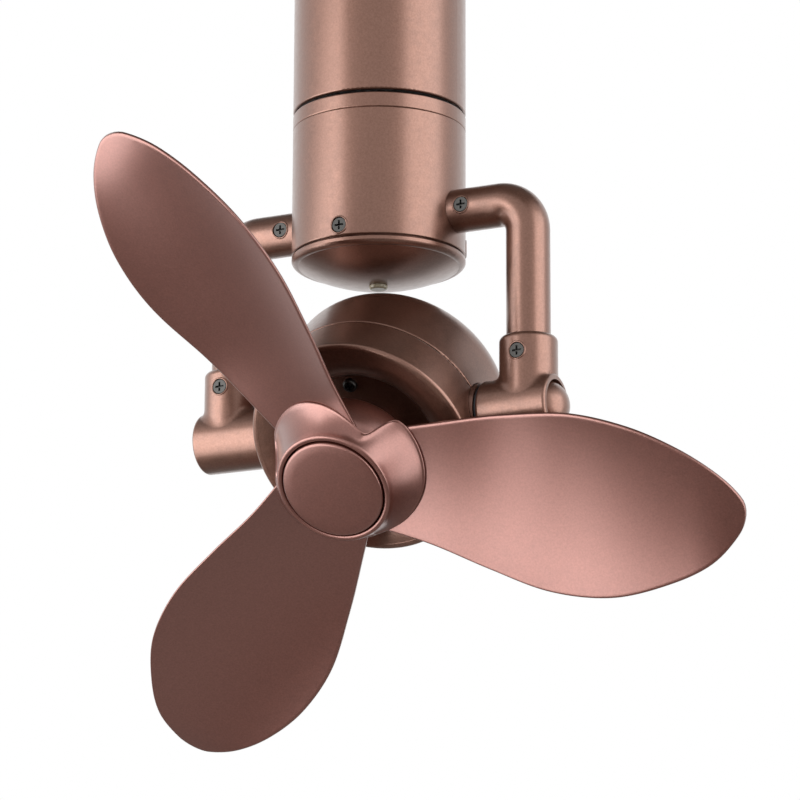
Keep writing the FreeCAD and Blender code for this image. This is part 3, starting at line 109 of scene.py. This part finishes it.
# copper-bronze metallic lacquer, sprayed: satin with soft wide lights, fine flake, orange peel
paintLook = {
    "shade": "#6f4837", "flake": "#7d5646", "metal": 0.8, "coatIor": 1.5, "coatRough": 0.3,
    "flakeSize": 0.9, "peelSize": 3.0, "peelDepth": 0.02, "roughLow": 0.30, "roughHigh": 0.40,
}

# moulded ABS under the same metallic colour: redder, with a stronger shine and hardly any peel
mouldingLook = {
    "shade": "#703a2c", "flake": "#7d473a", "metal": 0.75, "coatIor": 1.7, "coatRough": 0.3,
    "flakeSize": 0.9, "peelSize": 4.0, "peelDepth": 0.004, "roughLow": 0.31, "roughHigh": 0.35,
}
peelStrength, peelDetail = 0.4, 1.0


def lacquer(name, look):
    material, tree, shader, place = newFinish(name, {
        "Metallic": look["metal"], "Coat Weight": 1.0, "Coat Roughness": look["coatRough"],
        "Coat IOR": look["coatIor"]})
    flake = grainNoise(tree, place, look["flakeSize"])  # real flake is finer, this shows
    peel = grainNoise(tree, place, look["peelSize"], peelDetail)
    patternColor(tree, shader, flake, look["shade"], look["flake"])
    patternRough(tree, shader, peel, look["roughLow"], look["roughHigh"])
    patternBump(tree, shader, peel, peelStrength, look["peelDepth"])
    return material


# plain finishes: how metallic, two tones, a grain size, a roughness range and a bump depth
plainLooks = {
    # bluish, with a clear spangle
    "zinc_steel": ("zincPlatedSteel", 1.0, "#a9abad", "#c3c5c8", 1.6, 0.30, 0.42, 0.01),
    # ground bright
    "bearing_steel": ("groundBearingSteel", 1.0, "#b7b8ba", "#cbccce", 0.6, 0.14, 0.22, 0.002),
    # dark and satin
    "dark_screw": ("blackNickelSteel", 1.0, "#3a3938", "#484745", 0.5, 0.32, 0.42, 0.004),
    # waxy ivory
    "gear_plastic": ("mouldedAcetal", 0.0, "#d8d5cb", "#e2dfd6", 1.2, 0.38, 0.50, 0.006),
    # dull black
    "nylon": ("mouldedNylon", 0.0, "#26262a", "#313136", 1.0, 0.45, 0.60, 0.010),
    # grey and matt
    "motor_can": ("phosphatedSteel", 0.9, "#5a5c60", "#6c6f74", 1.4, 0.40, 0.52, 0.008),
    # grainy casting skin
    "cast_aluminium": ("dieCastAluminium", 1.0, "#9a9b9c", "#b2b3b4", 0.8, 0.40, 0.55, 0.020),
    # thin dark leaves
    "lamination": ("siliconSteelStack", 1.0, "#63656a", "#85878c", 0.5, 0.35, 0.50, 0.020),
    # glossy turns
    "copper_wire": ("enamelledCopper", 1.0, "#8a4523", "#b8673a", 0.6, 0.24, 0.34, 0.060),
    # green lacquer
    "circuit_board": ("solderMaskBoard", 0.0, "#11492b", "#1b6a3e", 2.0, 0.28, 0.40, 0.010),
    # olive and clear
    "sensor_plastic": ("smokedAcrylic", 0.0, "#8f8770", "#a79e86", 1.0, 0.16, 0.24, 0.002),
}
grainStrength = 0.5


def plainFinish(name, metal, low, high, grain, roughLow, roughHigh, depth):
    material, tree, shader, place = newFinish(name, {"Metallic": metal})
    pattern = grainNoise(tree, place, grain)
    patternColor(tree, shader, pattern, low, high)
    patternRough(tree, shader, pattern, roughLow, roughHigh)
    patternBump(tree, shader, pattern, grainStrength, depth)
    return material


finishes = {slot: plainFinish(*look) for slot, look in plainLooks.items()}
finishes["bronze_paint"] = lacquer("bronzeLacquer", paintLook)
finishes["bronze_moulding"] = lacquer("bronzeMouldedABS", mouldingLook)
print("finishes:", len(finishes))

# every CAD node takes the finish of its slot
for item in nodes.values():
    for place in item.material_slots:
        place.material = finishes[place.material.name.split(".")[0]]
print("nodes:", len(nodes))


def meshData(name, mesh):
    data = bpy.data.meshes.new(name)
    mesh.to_mesh(data)
    mesh.free()
    return data


def addObject(name, data):
    made = bpy.data.objects.new(name, data)
    bpy.context.scene.collection.objects.link(made)
    return made


# puts a finished bmesh in the scene as a piece that rides on a body
def addPiece(name, mesh, slotName, body, smooth):
    bmesh.ops.recalc_face_normals(mesh, faces=mesh.faces)
    data = meshData(name, mesh)
    for face in data.polygons:
        face.use_smooth = True
    data.set_sharp_from_angle(angle=radians(smooth))
    data.materials.append(finishes[slotName])
    piece = addObject(name, data)
    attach(piece, body)
    return piece


def edgesAmong(mesh, verts):
    return [edge for edge in mesh.edges if edge.verts[0] in verts and edge.verts[1] in verts]


def onlyOf(kind, parts):
    return [part for part in parts if isinstance(part, kind)]


# faces from each loop to the next, and from the last to the first if closed
def bridge(mesh, loops, closed=False):
    for first, last in zip(loops, loops[1:] + loops[:1] if closed else loops[1:]):
        bmesh.ops.bridge_loops(mesh, edges=first + last)


# cast fillet in the corner between a tee's socket and its barrel
filletLook = {
    "socket": 14.5, "barrel": 15.5, "reach": 83.0, "end": 96.4, "run": 3.4,
    "around": 128, "steps": 8, "smooth": 80,
}


def teeFillet(name, side, look):
    mesh = bmesh.new()
    socket, barrel, reach, run = (look[key] for key in ("socket", "barrel", "reach", "run"))
    loops = []
    for step in range(look["steps"] + 1):
        t = step / look["steps"]
        ring = bmesh.ops.create_circle(mesh, segments=look["around"], radius=socket)["verts"]
        for vert in ring:
            x, y = vert.co.x, vert.co.y
            high = (barrel ** 2 - y * y) ** 0.5
            corner = Vector((x, y, high))
            top = corner + Vector((0, 0, run))
            turn = y / socket * run / barrel
            foot = Vector((min(x * (1 + run / socket), look["end"] - reach),
                           y * cos(turn) + high * sin(turn), high * cos(turn) - y * sin(turn)))
            at = top * (1 - t) ** 2 + corner * 2 * t * (1 - t) + foot * t * t
            vert.co = Vector(((at.x + reach) * side, at.y, at.z)) * mm + pivot
        loops.append(edgesAmong(mesh, ring))
    bridge(mesh, loops)
    addPiece(name, mesh, "bronze_paint", "swivel", look["smooth"])


teeFillet("teeFilletRight", 1, filletLook)
teeFillet("teeFilletLeft", -1, filletLook)
print("tee fillets: 2")

# the motor's axis points forward and down
tilt = radians(41.67)
axisFront = Vector((0, -cos(tilt), -sin(tilt)))
axisUp = Vector((0, -sin(tilt), cos(tilt)))


# a place in the motor's own directions, given in millimetres
def motorPlace(right, up, front):
    return pivot + (Vector((right, 0, 0)) + axisUp * up + axisFront * front) * mm


# one closed loop about the motor's axis; shape gives radius and front for an angle
def motorLoop(mesh, around, shape):
    ring = bmesh.ops.create_circle(mesh, segments=around, radius=1)["verts"]
    for index, vert in enumerate(ring):
        turn = 2 * pi * index / around
        radius, front = shape(turn)
        vert.co = motorPlace(cos(turn) * radius, sin(turn) * radius, front)
    return edgesAmong(mesh, ring)


# round loops through the points of an outline, each a radius and a front
def turnedLoops(mesh, around, outline):
    return [motorLoop(mesh, around, lambda turn, spot=spot: spot) for spot in outline]


# straight between the points of a table that repeats every third of a turn
def tableAt(table, degrees):
    at = (degrees + thirdTurn / 2) % thirdTurn - thirdTurn / 2
    for (low, first), (high, last) in zip(table, table[1:]):
        if low <= at <= high:
            return first + (last - first) * (at - low) / (high - low)
    return table[-1][1]


# smooth curve through the rows of a table, at a place given by the first column
def curveThrough(rows, at):
    index = max(1, min(len(rows) - 3, sum(row[0] <= at for row in rows) - 1))
    before, low, high, after = rows[index - 1:index + 3]
    gap = high[0] - low[0]
    t = (at - low[0]) / gap
    values = []
    for p0, p1, p2, p3 in zip(before[1:], low[1:], high[1:], after[1:]):
        first = (p2 - p0) / (high[0] - before[0]) * gap
        last = (p3 - p1) / (after[0] - low[0]) * gap
        values.append(p1 * (2 * t ** 3 - 3 * t ** 2 + 1) + first * (t ** 3 - 2 * t ** 2 + t)
                      + p2 * (3 * t ** 2 - 2 * t ** 3) + last * (t ** 3 - t ** 2))
    return values


# moulded blade: a cambered, twisted sheet with a rim rounded all the way
# outline and sheet are in shares of the reach; a sheet row is along, bow, fall and half width
bladeLook = {
    "reach": 202.9, "offset": 46.9, "half": 1.2, "camber": 0.64, "lag": 12, "fine": 10,
    "cell": 5.0, "cellsAlong": (4, 41), "cellsAcross": (-10, 10), "cutGap": 0.0001,
    "joinGap": 0.001, "smooth": 80,
    "outline": ((0.089, 0.105), (0.22, 0.132), (0.403, 0.170), (0.575, 0.200), (0.722, 0.188),
                (0.844, 0.146), (0.937, 0.088), (0.992, 0.026), (1.0, -0.014), (0.985, -0.060),
                (0.922, -0.131), (0.817, -0.187), (0.683, -0.227), (0.530, -0.229),
                (0.372, -0.193), (0.224, -0.151), (0.089, -0.125)),
    "sheet": ((-0.1, 0.0, 0.300, 0.125), (0.05, 0.0, 0.300, 0.130), (0.221, 0.0, 0.300, 0.142),
              (0.374, 0.0054, 0.289, 0.180), (0.531, 0.0231, 0.239, 0.213),
              (0.689, 0.0344, 0.198, 0.207), (0.837, 0.0335, 0.164, 0.166),
              (0.935, 0.0245, 0.155, 0.110), (1.02, 0.0020, 0.150, 0.030),
              (1.1, -0.02, 0.150, 0.0)),
    "insets": ((0.10, 0.45), (0.22, 0.35), (0.38, 0.22), (0.50, 0.10), (0.80, 0.0)),
}


def bladeOutline(look):
    points = [Vector(point) for point in look["outline"]]
    places = [0.0]
    for first, last in zip(points, points[1:]):
        places.append(places[-1] + (last - first).length)
    rows = [(place, point.x, point.y) for place, point in zip(places, points)]
    # one more row past each end, for the slope there
    ahead = tuple(2 * end - near for end, near in zip(rows[0], rows[1]))
    behind = tuple(2 * end - near for end, near in zip(rows[-1], rows[-2]))
    steps = look["fine"] * (len(points) - 1)
    return [curveThrough([ahead] + rows + [behind], places[-1] * step / steps)
            for step in range(steps + 1)]


def addBlade(name, node, index, look):
    mesh = bmesh.new()
    reach, cell = look["reach"], look["cell"]
    outline = bladeOutline(look)
    ring = bmesh.ops.create_circle(mesh, segments=len(outline), radius=1, cap_ends=True)["verts"]
    for vert, (along, across) in zip(ring, outline):
        vert.co = Vector((along, across, 0)) * reach
    # the rim rises to half the thickness in a few insets
    inner = list(mesh.faces)
    rise, fullRise = 0, sum(step for inset, step in look["insets"])
    for inset, step in look["insets"]:
        bmesh.ops.inset_region(mesh, faces=inner, thickness=inset, use_even_offset=True,
                               use_boundary=True)
        rise += step
        for vert in inner[0].verts:
            vert.co.z = rise * look["half"] / fullRise
    # cells, so that the face can bend
    cuts = [(Vector((place * cell, 0, 0)), Vector((1, 0, 0))) for place in range(*look["cellsAlong"])]
    cuts += [(Vector((0, place * cell, 0)), Vector((0, 1, 0))) for place in range(*look["cellsAcross"])]
    for spot, way in cuts:
        edges = {edge for face in inner for edge in face.edges}
        verts = {vert for face in inner for vert in face.verts}
        made = bmesh.ops.bisect_plane(mesh, geom=inner + list(edges) + list(verts), plane_co=spot,
                                      plane_no=way, dist=look["cutGap"])
        inner = onlyOf(bmesh.types.BMFace, made["geom"])
    bmesh.ops.mirror(mesh, geom=mesh.verts[:] + mesh.edges[:] + mesh.faces[:], axis="Z",
                     merge_dist=look["joinGap"])
    turn = radians(thirdTurn * index - look["lag"])
    for vert in mesh.verts:
        x, y, z = vert.co
        along, across = x / reach, y / reach
        bow, fall, half = curveThrough(look["sheet"], along)
        level = bow - fall * across + look["camber"] * (across ** 2 - half ** 2)
        vert.co = motorPlace(x * cos(turn) - y * sin(turn), x * sin(turn) + y * cos(turn),
                             look["offset"] + level * reach + z)
    piece = addPiece(name, mesh, "bronze_moulding", "rotor", look["smooth"])
    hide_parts(node)


for index, name in enumerate(("bladeRight", "bladeTop", "bladeLow")):
    addBlade(name, f"blade_{index + 1}", index, bladeLook)
print("blades: 3")

# ring and three collars in one moulding: the collars run out over the blade roots, dip between
# reach and front follow the collar's edge by degrees, and soften rounds the corners of both
collarLook = {
    "lag": 12, "around": 216, "steps": 9, "flare": 0.5, "soften": (-2.4, -1.2, 0, 1.2, 2.4),
    "smooth": 70,
    "ring": ((26.6, 58.0), (26.6, 63.3), (26.8, 63.75), (27.2, 64.0), (28.5, 64.0),
             (29.1, 63.75), (29.45, 63.2), (29.6, 62.3)),
    "edge": ((0.45, -0.35), (0.9, -0.5), (1.2, -0.75), (1.3, -1.15), (1.0, -1.6), (-2.0, -2.8),
             (-6.0, -3.2)),
    "reach": ((-60, 31.6), (-51, 32.7), (-41, 34.7), (-33, 36.4), (-21, 38.5), (-9, 39.9),
              (0, 40.4), (12, 40.4), (25, 40.1), (38, 39.6), (46, 38.4), (50, 36.2), (54, 33.4),
              (57, 31.9), (60, 31.6)),
    "front": ((-60, 57.6), (-51, 56.8), (-41, 55.6), (-33, 54.3), (-21, 52.1), (-9, 49.6),
              (0, 47.5), (12, 45.2), (25, 43.1), (38, 41.6), (46, 41.3), (50, 45.2), (54, 52.0),
              (57, 56.4), (60, 57.6)),
}


def hubCollars(name, look):
    def edgeAt(turn):
        spread = [turn * 180 / pi + look["lag"] + step for step in look["soften"]]
        return [sum(tableAt(look[key], degrees) for degrees in spread) / len(spread)
                for key in ("reach", "front")]

    # from the ring to the edge
    def between(t):
        def shape(turn):
            radius, front = edgeAt(turn)
            start = look["ring"][-1]
            sag = look["flare"] * 4 * t * (1 - t)
            return start[0] + (radius - start[0]) * t - sag, start[1] + (front - start[1]) * t - sag
        return shape

    # round the edge to the underside
    def beyond(outward, forward):
        def shape(turn):
            radius, front = edgeAt(turn)
            return radius + outward, front + forward
        return shape

    mesh = bmesh.new()
    shapes = [between(step / look["steps"]) for step in range(1, look["steps"] + 1)]
    shapes += [beyond(outward, forward) for outward, forward in look["edge"]]
    loops = turnedLoops(mesh, look["around"], look["ring"])
    bridge(mesh, loops + [motorLoop(mesh, look["around"], shape) for shape in shapes])
    piece = addPiece(name, mesh, "bronze_moulding", "rotor", look["smooth"])
    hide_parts("hub_clamp")


hubCollars("hubCollars", collarLook)

# bell behind the collars, turned: a cup that is open at the back, and the boss on the shaft
bellLook = {
    "around": 128, "smooth": 50,
    "cup": ((4.05, 39.0), (31.4, 39.0), (31.8, 38.6), (32.0, 33.0), (32.4, 32.4), (33.0, 32.2),
            (33.6, 32.6), (33.8, 33.4), (33.8, 38.0), (33.5, 44.0), (32.7, 48.4), (31.2, 51.6),
            (28.8, 54.2), (25.0, 56.0), (4.05, 56.0)),
    "boss": ((4.05, 17.0), (10.6, 17.0), (11.0, 17.4), (11.0, 39.2), (4.05, 39.2)),
}


def hubBell(name, look):
    mesh = bmesh.new()
    for outline in (look["cup"], look["boss"]):
        bridge(mesh, turnedLoops(mesh, look["around"], outline), closed=True)
    piece = addPiece(name, mesh, "bronze_moulding", "rotor", look["smooth"])
    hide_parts("blade_hub")


hubBell("hubBell", bellLook)

# cap in the ring: a low dome with a rounded edge, above a narrow groove
capLook = {
    "around": 128, "smooth": 50,
    "outline": ((25.8, 58.6), (25.8, 64.0), (25.6, 64.5), (25.1, 64.85), (24.4, 65.0),
                (20.0, 65.25), (14.0, 65.45), (7.0, 65.57)),
}


def hubCap(name, look):
    mesh = bmesh.new()
    loops = turnedLoops(mesh, look["around"], look["outline"])
    bridge(mesh, loops)
    for loop in (loops[0], loops[-1]):
        bmesh.ops.contextual_create(mesh, geom=loop)
    piece = addPiece(name, mesh, "bronze_moulding", "rotor", look["smooth"])
    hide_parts("hub_cap")


hubCap("hubCap", capLook)
print("hub: collars, bell and cap")

# the wall of the drum's dish rolls over into the rim, so its outer half faces forward
flareLook = {
    "rim": 54.9, "rimFront": 23.95, "floor": 36.2, "floorFront": 13.05,
    "around": 160, "steps": 10, "smooth": 50,
}


def dishFlare(name, look):
    mesh = bmesh.new()
    turns = [pi / 2 * step / look["steps"] for step in range(look["steps"] + 1)]
    width, depth = look["rim"] - look["floor"], look["rimFront"] - look["floorFront"]
    outline = [(look["rim"] - width * sin(turn), look["floorFront"] + depth * cos(turn))
               for turn in turns]
    bridge(mesh, turnedLoops(mesh, look["around"], outline), closed=True)
    addPiece(name, mesh, "bronze_paint", "head", look["smooth"])


dishFlare("dishFlare", flareLook)
print("dish flare")

# flat screws that lie in their seats: a cross recess, a soft rim and a plain shank
headLook = {
    "radius": 3.9, "rim": 0.3, "thick": 0.4, "sunk": 0.2, "shank": 2.0, "length": 6.2,
    "crossHalf": 0.42, "crossReach": 1.9, "crossDepth": 1.6, "crossOpen": 1.25,
    "around": 48, "smooth": 35,
}


def looseEdges(mesh):
    return [edge for edge in mesh.edges if len(edge.link_faces) == 1]


# extrudes edges, moves the new ones along z and scales them across it
def drawOut(mesh, edges, rise, scale):
    made = bmesh.ops.extrude_edge_only(mesh, edges=edges)["geom"]
    verts = onlyOf(bmesh.types.BMVert, made)
    bmesh.ops.scale(mesh, verts=verts, vec=(scale, scale, 1))
    bmesh.ops.translate(mesh, verts=verts, vec=(0, 0, rise * mm))
    return [edge for edge in onlyOf(bmesh.types.BMEdge, made) if set(edge.verts) <= set(verts)]


def flatScrew(look):
    mesh = bmesh.new()
    radius, rim, half = look["radius"], look["rim"], look["crossHalf"]
    # the floor of the cross, then its walls up to the face
    bmesh.ops.create_grid(mesh, x_segments=1, y_segments=1, size=half * mm)
    bmesh.ops.translate(mesh, verts=mesh.verts, vec=(0, 0, -look["crossDepth"] * mm))
    for edge in looseEdges(mesh):
        middle = (edge.verts[0].co + edge.verts[1].co) / 2
        out = Vector((middle.x, middle.y, 0)).normalized()
        made = bmesh.ops.extrude_edge_only(mesh, edges=[edge])["geom"]
        bmesh.ops.translate(mesh, verts=onlyOf(bmesh.types.BMVert, made),
                            vec=out * (look["crossReach"] - half) * mm)
    cross = drawOut(mesh, looseEdges(mesh), look["crossDepth"], look["crossOpen"])
    # the face, the rim, the underside and the shank
    circle = bmesh.ops.create_circle(mesh, segments=look["around"], radius=(radius - rim) * mm)
    crown = edgesAmong(mesh, circle["verts"])
    bmesh.ops.triangle_fill(mesh, use_beauty=True, edges=cross + crown, normal=(0, 0, 1))
    loop = drawOut(mesh, crown, -rim, radius / (radius - rim))
    loop = drawOut(mesh, loop, -look["thick"], 1)
    loop = drawOut(mesh, loop, 0, look["shank"] / radius)
    loop = drawOut(mesh, loop, -look["length"], 1)
    bmesh.ops.contextual_create(mesh, geom=loop)
    return meshData("flatScrew", mesh)


def flatScrews(name, node, shape, look, seats, body):
    mesh = bmesh.new()
    for wall, centre, along, outward in seats:
        along, outward = Vector(along), Vector(outward)
        count = len(mesh.verts)
        mesh.from_mesh(shape)
        mesh.verts.ensure_lookup_table()
        turn = Matrix((along, outward.cross(along), outward)).transposed().to_4x4()
        place = Matrix.Translation((Vector(centre) - outward * look["sunk"]) * mm)
        bmesh.ops.transform(mesh, matrix=place @ turn, verts=mesh.verts[count:])
    piece = addPiece(name, mesh, "dark_screw", body, look["smooth"])
    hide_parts(node)


# painted lip round each screw's seat: where the seat is cut in a round wall
lipLook = {"ring": 4.35, "lip": 0.45, "around": 40, "section": 8, "smooth": 80}


def seatLip(mesh, look, wall, centre, along, outward):
    across = along.cross(outward)
    loop = bmesh.ops.create_circle(mesh, segments=look["section"], radius=look["lip"] * mm)["verts"]
    edges = edgesAmong(mesh, loop)
    bmesh.ops.rotate(mesh, verts=loop, cent=(0, 0, 0), matrix=Matrix.Rotation(pi / 2, 3, "X"))
    bmesh.ops.translate(mesh, verts=loop, vec=(look["ring"] * mm, 0, 0))
    made = bmesh.ops.spin(mesh, geom=loop + edges, cent=(0, 0, 0), axis=(0, 0, 1), angle=2 * pi,
                          steps=look["around"], use_merge=True)
    verts = set(loop) | set(onlyOf(bmesh.types.BMVert, made["geom_last"]))
    grown = set()
    while verts:  # every vertex of this ring
        vert = verts.pop()
        grown.add(vert)
        verts |= {edge.other_vert(vert) for edge in vert.link_edges} - grown
    for vert in grown:
        sag = wall - (wall ** 2 - vert.co.y ** 2) ** 0.5
        vert.co = centre + along * vert.co.x + across * vert.co.y + outward * (vert.co.z - sag)


def seatLips(name, look, seats, body):
    mesh = bmesh.new()
    for wall, centre, along, outward in seats:
        seatLip(mesh, look, wall * mm, Vector(centre) * mm, Vector(along), Vector(outward))
    addPiece(name, mesh, "bronze_paint", body, look["smooth"])


# a seat is the radius of its wall, its centre, a direction along the wall and one out of it
columnLook = {"wall": 44.0, "first": -90, "lower": -179.9, "upper": -8.0}
armLook = {"wall": 11.0, "aside": 51.0, "level": -166.8, "along": (1, 0, 0)}
teeLook = {"wall": 14.5, "aside": 83.0, "level": -246.6, "along": (0, 0, 1)}


# three seats round the column
def columnSeats(look, level):
    turns = [radians(look["first"] + thirdTurn * k) for k in range(3)]
    outs = [Vector((cos(turn), sin(turn), 0)) for turn in turns]
    return [(look["wall"], out * look["wall"] + Vector((0, 0, level)), (0, 0, 1), out)
            for out in outs]


# a seat on the front of the left and the right tube
def tubeSeats(look):
    return [(look["wall"], (look["aside"] * side, -look["wall"], look["level"]), look["along"],
             (0, -1, 0)) for side in (-1, 1)]


lowerSeats = columnSeats(columnLook, columnLook["lower"])
upperSeats = columnSeats(columnLook, columnLook["upper"])
armSeats = tubeSeats(armLook)
teeSeats = tubeSeats(teeLook)
seatLips("seatLipsLower", lipLook, lowerSeats + armSeats + teeSeats, "swivel")
seatLips("seatLipsUpper", lipLook, upperSeats, "ceiling_side")
print("seat lips: 10")
screwShape = flatScrew(headLook)
flatScrews("capScrewsFlush", "cap_screws", screwShape, headLook, lowerSeats, "swivel")
flatScrews("housingScrewsFlush", "housing_screws", screwShape, headLook, upperSeats, "ceiling_side")
flatScrews("armScrewsFlush", "arm_screws", screwShape, headLook, armSeats, "swivel")
flatScrews("teeScrewsFlush", "tee_screws", screwShape, headLook, teeSeats, "swivel")
bpy.data.meshes.remove(screwShape)
print("flat screws: 10")


# direction from the pivot, by degrees round from the front and up
def direction(around, rise):
    around, rise = radians(around), radians(rise)
    return Vector((sin(around) * cos(rise), -cos(around) * cos(rise), sin(rise)))


# the camera of the photograph, placed from the pivot of the head
cameraLook = {
    "azimuth": 26.536, "elevation": -14.204, "roll": 0.246, "distance": 1.84087,
    "aside": 11.10 * mm, "above": 12.74 * mm, "lens": 165.8, "sensor": 36, "clipEnd": 50,
}


def photoCamera(look):
    around, roll = radians(look["azimuth"]), radians(look["roll"])
    back = direction(look["azimuth"], look["elevation"])
    right = Vector((cos(around), sin(around), 0))
    up = right.cross(-back)
    place = pivot + back * look["distance"] + right * look["aside"] + up * look["above"]
    axes = (right * cos(roll) + up * sin(roll), up * cos(roll) - right * sin(roll), back)
    data = bpy.data.cameras.new("photoCamera")
    data.lens, data.sensor_width, data.clip_end = look["lens"], look["sensor"], look["clipEnd"]
    camera = addObject("photoCamera", data)
    camera.matrix_world = Matrix.Translation(place) @ Matrix(axes).transposed().to_4x4()
    bpy.context.scene.camera = camera


photoCamera(cameraLook)

# two large soft boxes: a strong one to the left, rolled, and a weaker upright one to the right
boxLooks = {
    "leftBox": {"around": -42, "rise": -9, "roll": 20, "size": (2.0, 2.1), "power": 52},
    "rightBox": {"around": 88, "rise": 6, "roll": 0, "size": (1.7, 2.2), "power": 30},
}
boxDistance = 1.7


def softBox(name, look):
    toward = direction(look["around"], look["rise"])
    data = bpy.data.lights.new(name, "AREA")
    data.shape = "RECTANGLE"
    data.size, data.size_y = look["size"]
    data.energy = look["power"]
    facing = toward.to_track_quat("Z", "Y").to_matrix().to_4x4()
    roll = Matrix.Rotation(radians(look["roll"]), 4, "Z")
    place = Matrix.Translation(pivot + toward * boxDistance)
    addObject(name, data).matrix_world = place @ facing @ roll


for name, look in boxLooks.items():
    softBox(name, look)

# white to the camera and in reflections, softer as light
worldLook = {"white": "#ffffff", "light": 0.2, "seen": 1.0}
world = bpy.data.worlds.new("whiteStudio")
bpy.context.scene.world = world
world.use_nodes = True
worldTree = world.node_tree
worldTree.nodes.clear()
path = addNode(worldTree, "ShaderNodeLightPath")
seen = path.outputs["Is Camera Ray"]
for ray in ("Is Glossy Ray", "Is Transmission Ray"):
    seen = addNode(worldTree, "ShaderNodeMath", {"operation": "MAXIMUM"},
                   links={0: seen, 1: path.outputs[ray]}).outputs[0]
level = addNode(worldTree, "ShaderNodeMapRange", links={"Value": seen}, sockets={
    "To Min": worldLook["light"], "To Max": worldLook["seen"]})
sky = addNode(worldTree, "ShaderNodeBackground", links={"Strength": level.outputs["Result"]},
              sockets={"Color": hexColor(worldLook["white"])})
addNode(worldTree, "ShaderNodeOutputWorld", links={"Surface": sky.outputs["Background"]})


# a level square of the stage; its finish is given as in plainLooks
def stagePlane(name, look):
    mesh = bmesh.new()
    bmesh.ops.create_grid(mesh, x_segments=1, y_segments=1, size=look["half"])
    bmesh.ops.translate(mesh, verts=mesh.verts, vec=(0, 0, look["level"]))
    data = meshData(name, mesh)
    data.materials.append(plainFinish(*look["finish"]))
    return addObject(name, data)


# pale painted floor, well below the fan
floorLook = {"level": -3.0, "half": 6.0,
             "finish": ("floorPaint", 0.0, "#dcdad6", "#e4e2df", 60, 0.5, 0.6, 0.01)}
floor = stagePlane("studioFloor", floorLook)

# dark felt card above the fan, only in reflections
cardLook = {"level": 0.55, "half": 0.6,
            "finish": ("cardFelt", 0.0, "#6a6663", "#726e6a", 8, 0.8, 0.9, 0.1)}
card = stagePlane("darkCard", cardLook)
card.visible_camera = card.visible_diffuse = card.visible_shadow = False

bpy.context.scene.view_settings.view_transform = "Standard"
print("stage set")
